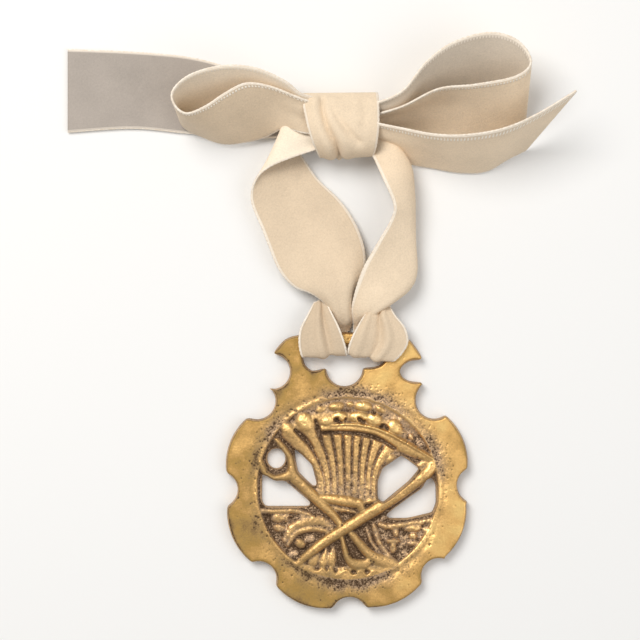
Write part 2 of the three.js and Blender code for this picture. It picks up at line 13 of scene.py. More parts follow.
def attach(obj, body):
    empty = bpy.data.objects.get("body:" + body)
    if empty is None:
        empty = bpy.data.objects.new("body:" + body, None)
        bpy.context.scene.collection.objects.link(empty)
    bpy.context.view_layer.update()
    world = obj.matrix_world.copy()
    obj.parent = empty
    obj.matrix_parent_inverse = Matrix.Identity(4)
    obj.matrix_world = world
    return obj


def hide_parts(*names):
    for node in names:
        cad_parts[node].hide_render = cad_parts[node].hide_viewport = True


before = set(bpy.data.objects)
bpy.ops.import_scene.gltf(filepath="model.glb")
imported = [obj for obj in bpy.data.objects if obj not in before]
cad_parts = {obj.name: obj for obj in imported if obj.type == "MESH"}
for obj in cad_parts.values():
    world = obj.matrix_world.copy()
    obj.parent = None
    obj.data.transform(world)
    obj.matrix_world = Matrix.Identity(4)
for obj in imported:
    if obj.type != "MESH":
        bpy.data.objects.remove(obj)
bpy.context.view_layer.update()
scene = bpy.context.scene

MM = 0.001
# How far apart the points of the casting's front are.
DETAIL = 0.26

# ---------------------------------------------------------------- camera, floor and light


def add_camera():
    """A camera straight above the object, which sees half_view to each side at the given level."""
    half_view = 97.7
    level = 3.5
    camera_height = 700.0
    data = bpy.data.cameras.new("camera")
    data.sensor_fit = "HORIZONTAL"
    data.angle = 2 * math.atan(half_view / (camera_height - level))
    data.clip_start = 0.01
    camera = bpy.data.objects.new("camera", data)
    camera.location = (-8.39 * MM, 51.3 * MM, camera_height * MM)
    scene.collection.objects.link(camera)
    scene.camera = camera


def area_light(name, place, size, power, color):
    """A round lamp that looks at the middle of the object."""
    data = bpy.data.lights.new(name, "AREA")
    data.shape = "DISK"
    data.size = size
    data.energy = power
    data.color = color
    lamp = bpy.data.objects.new(name, data)
    scene.collection.objects.link(lamp)
    lamp.location = place
    direction = Vector((0.0, 0.06, 0.0)) - lamp.location
    lamp.rotation_euler = direction.to_track_quat("-Z", "Y").to_euler()


def add_stage():
    bpy.ops.mesh.primitive_plane_add(size=3.0, location=(0.0, 0.05, -0.0001))
    floor = bpy.context.object
    floor.name = "floor"
    floor.data.materials.append(floor_material())
    area_light("key_light", (-0.35, 0.45, 0.75), 0.55, 6.2, (1.0, 0.985, 0.96))
    area_light("fill_light", (0.55, -0.10, 0.70), 0.70, 1.8, (0.97, 0.985, 1.0))
    world = bpy.data.worlds.new("studio")
    world.use_nodes = True
    background = world.node_tree.nodes["Background"]
    background.inputs["Color"].default_value = (1.0, 0.99, 0.975, 1.0)
    background.inputs["Strength"].default_value = 0.42
    scene.world = world
    scene.view_settings.view_transform = "Standard"


# ---------------------------------------------------------------- materials


class Nodes:
    """A material's nodes, made one after another."""

    def __init__(self, name):
        self.material = bpy.data.materials.new(name)
        self.material.use_nodes = True
        self.tree = self.material.node_tree
        self.shader = self.tree.nodes["Principled BSDF"]

    def put(self, socket, value):
        """Gives a socket a value, or another node's output."""
        if isinstance(value, bpy.types.NodeSocket):
            self.tree.links.new(value, socket)
        else:
            socket.default_value = value

    def add(self, kind, inputs=(), **settings):
        node = self.tree.nodes.new(kind)
        for key, value in settings.items():
            setattr(node, key, value)
        for key, value in dict(inputs).items():
            self.put(node.inputs[key], value)
        return node

    def noise(self, scale, detail=2.0, roughness=0.5):
        place = self.add("ShaderNodeTexCoord").outputs["Object"]
        inputs = {"Scale": scale, "Detail": detail, "Roughness": roughness, "Vector": place}
        return self.add("ShaderNodeTexNoise", inputs).outputs["Fac"]

    def attribute(self, name):
        return self.add("ShaderNodeAttribute", attribute_name=name).outputs["Fac"]

    def ramp(self, source, stops):
        node = self.add("ShaderNodeValToRGB", {"Fac": source})
        elements = node.color_ramp.elements
        for index in (0, -1):
            elements[index].position = stops[index][0]
            elements[index].color = (*stops[index][1], 1.0)
        for position, color in stops[1:-1]:
            elements.new(position).color = (*color, 1.0)
        return node.outputs["Color"]

    def grey_ramp(self, source, stops):
        return self.ramp(source, [(position, (value,) * 3) for position, value in stops])

    def math(self, operation, first, second):
        inputs = {0: first, 1: second}
        return self.add("ShaderNodeMath", inputs, operation=operation).outputs["Value"]

    def mix(self, factor, first, second, blend="MIX"):
        colors = [(*value, 1.0) if isinstance(value, tuple) else value for value in (first, second)]
        inputs = {0: factor, 6: colors[0], 7: colors[1]}
        return self.add("ShaderNodeMix", inputs, data_type="RGBA", blend_type=blend).outputs[2]

    def bump(self, height, distance, strength):
        inputs = {"Distance": distance, "Strength": strength, "Height": height}
        self.set(Normal=self.add("ShaderNodeBump", inputs).outputs["Normal"])

    def set(self, **values):
        for key, value in values.items():
            self.put(self.shader.inputs[key.replace("_", " ")], value)


def floor_material():
    nodes = Nodes("floor")
    nodes.set(Base_Color=(0.86, 0.855, 0.845, 1.0), Roughness=0.8)
    return nodes.material


def brass_material():
    nodes = Nodes("brass")
    # This attribute holds the brass's patina and painted shade: darker at its walls, near its edges and
    # towards the lower left.
    patina_and_shade = nodes.attribute("patina_and_shade")
    mottle = nodes.noise(160.0, 4.0, 0.6)
    grain = nodes.noise(1500.0, 3.0, 0.6)
    uneven = nodes.math("MULTIPLY", nodes.math("SUBTRACT", mottle, 0.5), 0.75)
    speckle = nodes.noise(1900.0, 2.0, 0.7)
    coarse = nodes.math("ADD", nodes.math("MULTIPLY", nodes.attribute("stipple"), 1.7), 0.35)
    fine = nodes.math("MULTIPLY", nodes.math("SUBTRACT", speckle, 0.5), coarse)
    amount = nodes.math("ADD", nodes.math("ADD", patina_and_shade, uneven), fine)
    tones = [
        (0.0, (1.0, 0.67, 0.25), (1.0, 0.71, 0.36)),
        (0.26, (0.82, 0.505, 0.18), (0.84, 0.55, 0.27)),
        (0.48, (0.55, 0.335, 0.115), (0.60, 0.395, 0.22)),
        (0.60, (0.45, 0.275, 0.080), (0.52, 0.35, 0.205)),
        (0.70, (0.42, 0.265, 0.082), (0.47, 0.325, 0.205)),
        (0.82, (0.32, 0.198, 0.070), (0.36, 0.243, 0.150)),
        (1.0, (0.10, 0.056, 0.022), (0.10, 0.054, 0.024)),
    ]
    plain = nodes.ramp(amount, [(position, color) for position, color, _ in tones])
    recessed = nodes.ramp(amount, [(position, color) for position, _, color in tones])
    depth = nodes.math("MULTIPLY", nodes.attribute("stipple"), 1.15)
    color = nodes.mix(nodes.math("MINIMUM", depth, 1.0), plain, recessed)
    roughness = nodes.grey_ramp(amount, [(0.0, 0.38), (0.5, 0.52), (1.0, 0.74)])
    metal = nodes.grey_ramp(amount, [(0.40, 1.0), (0.9, 0.5)])
    nodes.set(Base_Color=color, Roughness=roughness, Metallic=metal)
    nodes.bump(nodes.math("ADD", grain, nodes.noise(420.0, 3.0, 0.55)), 0.00012, 0.55)
    return nodes.material


def velvet_material(name, nap_and_shade, light, dark, stitch, sheen, pile):
    """Cloth between two tones, mixed by an attribute that holds the pile's tone and painted light and
    shade, with a line of stitches beside its edges where it is stitched.
    """
    stitch_step = 0.95
    selvedge_width = 0.6
    nodes = Nodes(name)
    cloud = nodes.noise(90.0, 3.0, 0.55)
    fuzz = nodes.noise(1900.0, 3.0, 0.65)
    blend = nodes.math("ADD", nodes.math("MULTIPLY", cloud, 0.45), nodes.math("MULTIPLY", fuzz, 0.55))
    tone = nodes.mix(nodes.attribute(nap_and_shade), dark, light)
    shade = nodes.grey_ramp(blend, [(0.36, 0.83), (0.64, 1.0)])
    color = nodes.mix(1.0, tone, shade, "MULTIPLY")
    gap = nodes.attribute("edge_gap")
    band = nodes.grey_ramp(nodes.math("DIVIDE", gap, 4.0), [
        (0.0, 0.75), (0.10, 0.5), (0.14, 0.0), (0.16, 0.0), (0.19, 1.0), (0.36, 1.0), (0.42, 0.0),
    ])
    turns = nodes.math("MULTIPLY", nodes.attribute("run"), 2 * math.pi / stitch_step)
    ladder = nodes.math("GREATER_THAN", nodes.math("SINE", turns, 0.0), 0.0)
    ladder = nodes.math("MULTIPLY", ladder, nodes.attribute("stitched"))
    inner = nodes.math("GREATER_THAN", gap, selvedge_width)
    ladder = nodes.math("MULTIPLY", inner, ladder)
    ladder = nodes.math("ADD", ladder, nodes.math("SUBTRACT", 1.0, inner))
    stitches = nodes.math("MULTIPLY", band, ladder)
    color = nodes.mix(stitches, color, stitch)
    nodes.set(Base_Color=color, Roughness=0.86, Sheen_Weight=sheen, Sheen_Roughness=0.35)
    nodes.set(Sheen_Tint=(1.0, 0.95, 0.88, 1.0))
    nodes.bump(nodes.math("ADD", fuzz, nodes.math("MULTIPLY", stitches, 1.2)), 0.00022, pile)
    return nodes.material


def selvedge_material():
    nodes = Nodes("selvedge")
    thread = nodes.noise(900.0, 2.0)
    color = nodes.ramp(thread, [(0.35, (0.80, 0.68, 0.54)), (0.65, (0.92, 0.83, 0.71))])
    nodes.set(Base_Color=color, Roughness=0.55, Sheen_Weight=0.2)
    nodes.bump(nodes.noise(3000.0, 2.0), 0.0001, 0.4)
    return nodes.material


# ---------------------------------------------------------------- curves and meshes


def smooth_rows(rows, count):
    """A Catmull-Rom curve through rows of any number of components, as count + 1 rows."""
    rows = np.asarray(rows, float)
    place = np.linspace(0, len(rows) - 1, count + 1)
    index = np.minimum(place.astype(int), len(rows) - 2)
    part = (place - index)[:, None]
    before = rows[np.maximum(index - 1, 0)]
    start = rows[index]
    end = rows[index + 1]
    after = rows[np.minimum(index + 2, len(rows) - 1)]
    square = part * part
    cube = square * part
    return (
        (2 * cube - 3 * square + 1) * start
        + (cube - 2 * square + part) * (end - before) / 2
        + (3 * square - 2 * cube) * end
        + (cube - square) * (after - start) / 2
    )


def path_lengths(points):
    """How far along the path each point is."""
    steps = np.linalg.norm(np.diff(points, axis=0), axis=1)
    return np.concatenate([[0.0], np.cumsum(steps)])


def spaced_rows(rows, spacing, measured=2):
    """The same curve, at an even spacing measured over that many of its first components."""
    fine = smooth_rows(rows, 40 * (len(rows) - 1))
    along = path_lengths(fine[:, :measured])
    count = max(2, round(along[-1] / spacing))
    wanted = np.linspace(0, along[-1], count + 1)
    return np.stack([np.interp(wanted, along, fine[:, axis]) for axis in range(fine.shape[1])], axis=1)


def arc_points(x, y, radius, start, end, count):
    angles = np.radians(np.linspace(start, end, count + 1))
    return np.stack([x + radius * np.cos(angles), y + radius * np.sin(angles)], axis=1)


def evenly(points, spacing):
    """Points at an even spacing round a closed outline."""
    closed = np.vstack([points, points[:1]])
    along = path_lengths(closed)
    count = round(along[-1] / spacing)
    wanted = np.arange(count) * along[-1] / count
    return np.stack([np.interp(wanted, along, closed[:, axis]) for axis in range(2)], axis=1)


def rounded(points, spacing, softness):
    """The outline at an even spacing, counter-clockwise, with its corners rounded over about softness."""
    fine = evenly(np.asarray(points, float), spacing)
    for _ in range(round(2 * (softness / spacing) ** 2)):
        fine = (np.roll(fine, 1, axis=0) + 2 * fine + np.roll(fine, -1, axis=0)) / 4
    x, y = fine[:, 0], fine[:, 1]
    area = np.sum(x * np.roll(y, -1) - np.roll(x, -1) * y)
    return fine[::-1] if area < 0 else fine


def moved(points, inset):
    """A counter-clockwise outline moved inward by inset, or outward if negative, less at a narrow tip."""
    reach = 7
    steps = np.linalg.norm(np.roll(points, -1, axis=0) - points, axis=1)
    path = sum(np.roll(steps, -shift) for shift in range(-reach, reach))
    chord = np.linalg.norm(np.roll(points, -reach, axis=0) - np.roll(points, reach, axis=0), axis=1)
    room = (chord / path)[:, None] ** 5
    along = np.roll(points, -1, axis=0) - np.roll(points, 1, axis=0)
    length = np.linalg.norm(along, axis=1, keepdims=True)
    inward = np.stack([-along[:, 1], along[:, 0]], axis=1) / length
    return points + inward * inset * room


def make_object(name, points, faces, materials):
    mesh = bpy.data.meshes.new(name)
    mesh.from_pydata((np.asarray(points) * MM).tolist(), [], faces)
    mesh.update()
    piece = bpy.data.objects.new(name, mesh)
    scene.collection.objects.link(piece)
    for material in materials:
        mesh.materials.append(material)
    mesh.polygons.foreach_set("use_smooth", [True] * len(mesh.polygons))
    return piece


def set_attribute(piece, name, values):
    attribute = piece.data.attributes.new(name, "FLOAT", "POINT")
    attribute.data.foreach_set("value", np.asarray(values, np.float32))


def ease(value, low, high):
    """A soft step from 0 at low to 1 at high."""
    share = np.clip((value - low) / (high - low), 0, 1)
    return share * share * (3 - 2 * share)


# ---------------------------------------------------------------- a height map of the casting's front

CELL = 0.15
MAP_LOW = (-41.4, -41.4)
MAP_SIZE = (552, 606)
# Stamps along a line are this far apart.
STAMP_STEP = 0.22
RIM_FACE = 3.8
# The height of the ground between the medallion's reliefs, and the medallion's radius.
GROUND = 2.5
MEDALLION = 27.8
# Above this y, the hanger's back stands forward by this much.
HANGER_STEP = 38.6
HANGER_BACK = 1.6

map_x, map_y = np.meshgrid(
    MAP_LOW[0] + CELL * np.arange(MAP_SIZE[0]), MAP_LOW[1] + CELL * np.arange(MAP_SIZE[1])
)
map_radius = np.hypot(map_x, map_y)
map_angle = np.degrees(np.arctan2(map_y, map_x))


def blurred(values, sigma):
    """The map softened by a bell curve of that many millimetres."""
    reach = int(3 * sigma / CELL) + 1
    steps = np.arange(-reach, reach + 1) * CELL
    weights = np.exp(-0.5 * (steps / sigma) ** 2)
    weights /= weights.sum()
    for _ in range(2):
        padded = np.pad(values, [(reach, reach), (0, 0)], mode="edge")
        values = sum(weight * padded[step:step + len(values)] for step, weight in enumerate(weights)).T
    return values


def between(grid, row, column, share_y, share_x):
    """Values part of the way from each cell of the grid to the next."""
    low = grid[row, column] * (1 - share_x) + grid[row, column + 1] * share_x
    high = grid[row + 1, column] * (1 - share_x) + grid[row + 1, column + 1] * share_x
    return low * (1 - share_y) + high * share_y


def map_noise(cell, seed):
    """Smooth random values from -1 to 1 over the map, with features of about cell millimetres."""
    random = np.random.RandomState(seed)
    columns = int(MAP_SIZE[0] * CELL / cell) + 3
    rows = int(MAP_SIZE[1] * CELL / cell) + 3
    grid = random.uniform(-1, 1, (rows, columns))
    x = (map_x - MAP_LOW[0]) / cell
    y = (map_y - MAP_LOW[1]) / cell
    column, row = x.astype(int), y.astype(int)
    return between(grid, row, column, ease(y - row, 0, 1), ease(x - column, 0, 1))


def stamp(height, x, y, reach_x, reach_y, top, foot, turn=0.0, raising=True, fullness=0.5):
    """Raises the map to a rounded lump, or lowers it to a rounded dent."""
    reach = max(reach_x, reach_y)
    column = int(round((x - reach - MAP_LOW[0]) / CELL))
    row = int(round((y - reach - MAP_LOW[1]) / CELL))
    size = int(2 * reach / CELL) + 2
    window = (slice(max(row, 0), row + size), slice(max(column, 0), column + size))
    away_x = map_x[window] - x
    away_y = map_y[window] - y
    cos = math.cos(math.radians(turn))
    sin = math.sin(math.radians(turn))
    along = (away_x * cos + away_y * sin) / reach_x
    over = (away_y * cos - away_x * sin) / reach_y
    far = along ** 2 + over ** 2
    shape = np.clip(1 - far, 0, None) ** fullness
    level = foot + (top - foot) * shape
    choose = np.maximum if raising else np.minimum
    height[window] = np.where(far < 1, choose(height[window], level), height[window])


def ridge(height, rows, spread, foot=GROUND - 0.5, fullness=0.5):
    """A rounded ridge along rows of x, y, half width and top height. A low fullness makes it steep."""
    for x, y, half_width, top in spaced_rows(rows, STAMP_STEP):
        reach = half_width * spread
        stamp(height, x, y, reach, reach, top, foot, fullness=fullness)


def groove(height, rows, foot=RIM_FACE + 0.6):
    """A rounded groove along rows of x, y, half width and floor height."""
    for x, y, half_width, floor in spaced_rows(rows, STAMP_STEP):
        stamp(height, x, y, half_width, half_width, floor, foot, raising=False)


TOOL = [
    [[-17, 4.3, 1.6, 4.3], [-11, -1.9, 1.3, 4.6], [-3.8, -8.9, 1, 4.4], [-2.2, -11.8, 0.9, 4]],
    [[-26.6, 8, 0.8, 4.2], [-24.8, 4.4, 0.8, 4.3], [-22, 2.9, 0.9, 4.4], [-18.4, 3.6, 1.1, 4.4]],
    [[-17.2, 4.4, 1.1, 4.4], [-17.2, 8.2, 0.9, 4.3], [-19.4, 12, 0.8, 4.2], [-21.6, 14.6, 0.7, 4]],
    [[1.4, -14.2, 0.9, 4.2], [6.7, -20.2, 1.2, 4.4], [11, -22.6, 1.6, 4.2], [15.6, -23.9, 1.1, 3.9]],
    [[-1.7, -15.2, 0.6, 4.2], [-0.9, -18.5, 0.7, 4.3], [0.2, -21.6, 0.9, 4.4], [2.4, -23.3, 1.3, 4.5],
     [5.4, -23.2, 1.2, 4.4], [7.2, -21.4, 0.8, 4.2]],
    [[-16.6, -22.9, 0.8, 3.8], [-8, -26.2, 1.7, 4.1], [0.8, -26.8, 2.2, 4.2], [9, -25.9, 2, 4.1],
     [16, -23.6, 0.9, 3.9]],
]
SCYTHE = [
    [[26.2, 7.4, 1.2, 4.2], [23.7, 4, 1.3, 4.6], [14.5, -2.7, 1.35, 4.8], [4.7, -8.9, 1.35, 4.9],
     [-1.4, -12.8, 1.3, 4.9], [-8.4, -17.4, 1.2, 4.7], [-15.7, -23.5, 0.9, 4.1]],
    [[25.4, 8.8, 1.1, 3.7], [21.4, 5.9, 1.1, 3.6], [14.5, -0.2, 1, 3.4], [9.6, -5, 0.8, 3.3]],
    [[26.2, 8.6, 0.9, 4.1], [17.6, 12.6, 1.7, 4.15], [13, 15, 1.9, 4.2], [7.5, 17.1, 1.7, 4.15],
     [0.8, 18.1, 1.3, 4.1], [-7.6, 18.2, 0.8, 4]],
    [[26, 9, 0.3, 4.5], [17.8, 13.8, 0.35, 4.8], [12.6, 16.6, 0.4, 4.9], [7.2, 18.6, 0.35, 4.8],
     [0.6, 19.5, 0.3, 4.6], [-5.4, 19.1, 0.3, 4.2]],
]
BANDS = [
    [[-9.4, -3, 0.8, 4.3], [-4.6, -3.5, 1, 4.5], [0.6, -4.2, 1.1, 4.5], [4, -5, 0.9, 4.3]],
    [[3.6, -4.6, 1, 4.4], [4.6, -6.8, 0.8, 4.1], [6.2, -9, 0.5, 3.8]],
    [[4.4, -4.6, 0.5, 3.9], [8.6, -3.6, 0.6, 3.9]],
    [[-7.4, -5, 0.4, 3.6], [-3, -6.4, 0.6, 3.8], [2.6, -7.4, 0.4, 3.6]],
]
EARS = [
    [-17.6, 17.4, 2.5, 1.5, 4.3, -45], [-12.9, 19.8, 2.6, 1.9, 4.4, -52], [-5.9, 20.6, 2, 1.2, 4.4, 20],
    [-2.4, 21.8, 2, 1.2, 4.5, 0], [3.6, 21.6, 2.6, 1.3, 4.6, 0], [8.1, 20.9, 1.9, 1.6, 4.6, -20],
    [14.2, 18.4, 2, 1.7, 4.5, -50], [-3.4, 24.9, 1.9, 1, 4.3, 8], [4.9, 24.9, 2, 1.2, 4.4, -4],
    [13.2, 8.9, 1.5, 1.1, 3.9, 40], [15.6, 12, 1.2, 0.9, 3.8, 20], [-8.2, 24, 1.3, 0.8, 4, 20],
    [10, 24, 1.4, 0.8, 4, -25], [0.8, 25.6, 1, 0.7, 4, 0],
]
EAR_BAND = [
    [-19, 16.6, 1.2, 3.7], [-13.4, 19.8, 2, 3.9], [-6, 21.3, 1.9, 3.9], [2, 21.6, 1.7, 3.8],
    [9, 20.4, 1.8, 3.8], [15.6, 17, 1.6, 3.7],
]
EAR_GAPS = [
    [-3.4, 20.9, 1, 40], [-2.6, 20.3, 1.1, -30], [4, 20.8, 1.2, -35], [5, 20.2, 0.9, 40],
    [10.6, 18.9, 1, 30], [11.9, 18.5, 1.1, -50], [-17.8, 13.2, 0.8, -45], [0.6, 23.6, 0.9, 20],
    [8, 22.9, 0.9, -30], [-0.6, 20.9, 0.7, 60],
]
GROUND_RIDGES = [
    [[-19.1, -15.8, 0.6, 3.4], [-16.5, -12.2, 0.9, 3.8], [-11.4, -10.2, 1.1, 3.9], [-7.2, -10.6, 1, 3.8],
     [-4.4, -12.5, 0.7, 3.5]],
    [[-18.2, -17.4, 0.4, 3.5], [-15.8, -13.9, 0.6, 3.8], [-12.2, -12.6, 0.6, 3.9],
     [-8.4, -12.7, 0.6, 3.8], [-5.2, -13.8, 0.5, 3.6]],
    [[-11.9, -24.4, 0.4, 3.4], [-10.4, -22.4, 1, 4.1], [-8.6, -20, 0.3, 3.4]],
    [[-8.3, -25, 0.4, 3.4], [-7.2, -22.2, 0.9, 4.1], [-6.4, -18.6, 0.3, 3.4]],
    [[-4.7, -25.2, 0.4, 3.4], [-4.9, -22, 0.9, 4.1], [-4.2, -18, 0.3, 3.4]],
    [[-26, -7, 0.6, 3.7], [-20, -7.1, 0.6, 3.8], [-16.4, -6.9, 0.6, 3.7], [-11.6, -8.2, 0.5, 3.6]],
    [[10, -11.2, 0.5, 3.6], [12.6, -11.9, 0.6, 3.7], [17, -11.3, 0.6, 3.7], [25.2, -10, 0.5, 3.6]],
    [[7.9, -11.4, 0.5, 3.4], [9.6, -16.4, 0.5, 3.5], [12.2, -20.2, 0.5, 3.4], [15.7, -23.4, 0.5, 3.5]],
    [[5.8, -12.2, 0.4, 3.4], [7.4, -16.6, 0.4, 3.5], [9.8, -20, 0.4, 3.3]],
]
GROUND_LUMPS = [
    [-21.2, -9.2, 1.7, 1, 3.7, 0], [-20.9, -12.2, 1.5, 0.8, 3.6, -10], [-18.6, -8.9, 0.8, 1, 3.4, 0],
    [-14.4, -16.9, 1.3, 1, 4.1, -40], [-13.6, -8.9, 1, 0.8, 3.6, 0], [-16.6, -20.4, 1.4, 0.9, 3.4, 30],
    [-11.2, -15.6, 1.6, 0.9, 3.3, 10], [14.8, -13.6, 0.7, 1, 3.7, 0], [13.9, -16.3, 1.6, 0.6, 3.8, 0],
    [13.9, -18.2, 0.8, 1.2, 3.8, 0], [20, -12.3, 1.9, 0.8, 3.8, 6], [20, -14.8, 0.9, 0.8, 3.6, 0],
    [19.8, -16.8, 1.4, 0.6, 3.6, 0], [24, -12.8, 0.9, 0.8, 3.4, 0], [16.8, -20.6, 1.3, 0.8, 3.2, 40],
    [22.4, 13.4, 1.3, 0.9, 3.1, -50], [19.4, 15.6, 0.9, 0.6, 3.5, -60], [22, 17.2, 1.2, 0.8, 3.1, -40],
]
SHEAF = [
    [-9.9, -5.5], [-9.9, 0.4], [-11.3, 6.8], [-16.4, 12.2], [-21.4, 17.2], [-16, 21.6], [-8, 24.4],
    [4, 25.4], [13, 22.6], [18.6, 17], [17, 10.4], [13.9, 8.4], [10.4, 6], [9, 2], [9, -5.5],
]
STALKS = [
    [[-7.6, -2.4], [-8.4, 3.4], [-10.9, 8.6], [-14, 12.6], [-17.6, 16.8]],
    [[-5.8, -2.5], [-6.3, 4.4], [-7.8, 9.8], [-9.8, 13.8], [-12.2, 18.4]],
    [[-4, -2.7], [-4.2, 4.6], [-4.9, 9.8], [-5.8, 13.6], [-7, 17.6]],
    [[-1.9, -2.9], [-2, 4.4], [-2.4, 9.6], [-2.7, 13.2], [-3.2, 17.2]],
    [[0.3, -3], [0.2, 4.2], [0.2, 9.4], [0.1, 13], [0.2, 17]],
    [[2.3, -3], [2.4, 4.2], [2.5, 9.2], [2.8, 12.8], [3.1, 16.6]],
    [[4.2, -3], [4.5, 4.2], [4.9, 9], [5.3, 12.4], [5.9, 16.2]],
    [[6.2, -2.9], [6.5, 3.9], [7.2, 8.2], [8, 11.2], [9.1, 14.8]],
    [[7.9, -2.6], [8.2, 3.4], [9.2, 6.8], [10.9, 9.6], [13, 12.2]],
]
STALK_SIZES = [[1, 3.45], [1.05, 3.75], [1.2, 3.9], [1.4, 3.95], [1.7, 4]]
GROOVE_SIZES = [[0.24, 3], [0.28, 2.95], [0.32, 2.9], [0.38, 2.8], [0.46, 2.7]]
SCALLOPS = [
    [-11.5, -24.3, 0.4, 4], [-9.2, -25.6, 0.4, 4.2], [-7.5, -24.6, 0.4, 4.2], [-6.2, -26, 0.4, 4.3],
    [-5.1, -24.4, 0.4, 4.1], [-3.6, -26.8, 0.45, 4.3], [-0.5, -25.2, 0.45, 4.3], [1.8, -26.9, 0.45, 4.3],
    [4, -25.2, 0.45, 4.3], [5.9, -26.8, 0.45, 4.3], [8.2, -25.2, 0.45, 4.3], [10.2, -25.9, 0.4, 4.2],
]
SCALLOP_PITS = [[-3.8, -25], [1.8, -25.6], [5.9, -25.6], [-9.2, -24.4], [-6.2, -24.6]]
# The gaps between the sheaf's left leaves, and the line under the blade.
LEAF_GAPS = [
    [[-15.9, 17.6, 0.5, 2.4], [-13.2, 15.2, 0.9, 1.9], [-10.6, 12.2, 0.4, 2.3]],
    [[-9.7, 20.6, 0.5, 2.6], [-8.9, 18.4, 0.6, 2.3], [-7.9, 15.4, 0.4, 2.5]],
    [[-8.8, 16.8, 0.7, 2.3], [0.8, 16.9, 0.7, 2.4], [8.6, 15.4, 0.8, 2.3], [14.6, 12, 0.5, 2.4]],
]
FIELD_DENTS = [[-24.3, -8.9], [-17.2, -9.4], [-20.6, -14.6], [12.6, -13.4], [17.4, -14], [-1, -8.2]]


def sheaf_body(height):
    """The low pad that the sheaf's stalks stand on."""
    inside = np.zeros(height.shape, bool)
    corners = rounded(SHEAF, 0.8, 1.0)
    for (x, y), (next_x, next_y) in zip(corners, np.roll(corners, -1, axis=0)):
        if y != next_y:
            crossing = x + (map_y - y) * (next_x - x) / (next_y - y)
            inside ^= ((y > map_y) != (next_y > map_y)) & (map_x < crossing)
    pad = blurred(inside.astype(float), 0.35)
    return np.maximum(height, GROUND + 0.75 * pad)


def stalks(height):
    lines = [np.array(line) for line in STALKS]
    for number, line in enumerate(lines):
        spread = 1.5 if number < 2 else 1.0
        ridge(height, np.column_stack([line, STALK_SIZES]), spread, foot=3.1, fullness=0.4)
    for line, beside in zip(lines, lines[1:]):
        groove(height, np.column_stack([(line + beside) / 2, GROOVE_SIZES]), foot=3.9)


def casting_height():
    """The height of the front everywhere: the relief, then its roughness, then the rim's own dents."""
    wall = ease(map_radius, MEDALLION - 1.1, MEDALLION + 0.3)
    upper = ease(map_y + 0.15 * map_x, 17.5, 23.5)
    height = GROUND + 0.8 * upper + (RIM_FACE - GROUND - 0.8 * upper) * wall
    height = sheaf_body(height)
    stalks(height)
    for rows in GROUND_RIDGES:
        ridge(height, rows, spread=1.9, fullness=0.36)
    ridge(height, EAR_BAND, spread=1.15, foot=2.6, fullness=0.35)
    for x, y, reach_x, reach_y, top, turn in EARS + GROUND_LUMPS:
        stamp(height, x, y, reach_x * 1.5, reach_y * 1.6, top, GROUND - 0.3, turn=turn, fullness=0.32)
    for rows in BANDS:
        ridge(height, rows, spread=1.85, fullness=0.4)
    for rows in TOOL + SCYTHE:
        ridge(height, rows, spread=1.46, fullness=0.3)
    for x, y in SCALLOP_PITS:
        stamp(height, x, y, 1.0, 0.7, 3.1, foot=4.1, raising=False)
    ridge(height, SCALLOPS, spread=1.35, foot=3.2)
    for rows in LEAF_GAPS:
        groove(height, rows)
    for x, y, reach, turn in EAR_GAPS:
        stamp(height, x, y, reach, reach * 0.55, 2.5, foot=4.4, turn=turn, raising=False)
    for x, y in FIELD_DENTS:
        stamp(height, x, y, 1.2, 0.9, 1.9, foot=3.8, raising=False)
    turns = np.radians(np.arange(0, 361, 6))
    bead = 3.78 + 0.16 * np.clip(-np.cos(turns - 0.35), 0, None)
    ring = [MEDALLION * np.cos(turns), MEDALLION * np.sin(turns), np.full(len(turns), 0.3), bead]
    ridge(height, np.column_stack(ring), spread=1.0, foot=3.2)
    stipple = 0.19 * map_noise(0.62, 21) + 0.16 * map_noise(1.3, 22) + 0.12 * map_noise(0.36, 23)
    height = height + stipple * (1 - 0.75 * ease(height, 2.9, 4.2)) * (map_radius < MEDALLION - 0.5)
    height = np.where(map_radius < MEDALLION + 0.6, blurred(height, 0.17), height)
    outside = ease(map_radius, MEDALLION + 0.3, MEDALLION + 0.9)
    ditch = np.exp(-((map_radius - 29.3) / 1.1) ** 2) * outside
    height = height - 0.26 * ditch * (0.7 + 0.5 * map_noise(5.0, 3))
    height = height + 0.05 * map_noise(7.0, 1) + 0.035 * map_noise(2.4, 2)
    rough = 0.10 * map_noise(0.45, 31) + 0.10 * map_noise(0.9, 32)
    return height + pitting() * outside * rough


def pitting():
    """How strongly the surface is pitted: most beside the medallion, at its top, right and bottom."""
    def around(angle, width):
        return np.exp(-(((map_angle - angle + 180) % 360 - 180) / width) ** 2)

    near = np.exp(-(np.clip(map_radius - 28.2, 0, None) / 3.1) ** 2) * (map_radius > MEDALLION)
    top_and_right = 0.8 * around(72, 34) + 0.75 * around(20, 14)
    bottom_and_left = 0.9 * around(-84, 26) + 0.5 * around(142, 14)
    share = 0.18 + top_and_right + bottom_and_left
    return np.clip(near * share * (1 + 0.45 * map_noise(2.6, 41)), 0, 1)


def add_pits(height):
    """Small pits at random places, most of them where the surface is pitted."""
    tries = 30000
    margin = 20
    random = np.random.RandomState(11)
    strength = pitting()
    for _ in range(tries):
        column = random.randint(margin, MAP_SIZE[0] - margin)
        row = random.randint(margin, MAP_SIZE[1] - margin)
        chance, size, depth = random.uniform(size=3)
        inside = map_radius[row, column] < MEDALLION - 1
        likely = 0.10 if inside else 0.8 * strength[row, column] + 0.006
        if chance > likely:
            continue
        x, y = map_x[row, column], map_y[row, column]
        level = height[row, column] - (0.05 + 0.13 * depth)
        reach = 0.17 + 0.22 * size ** 2
        stamp(height, x, y, reach, reach, level, foot=height[row, column] + 0.05, raising=False)
    return height


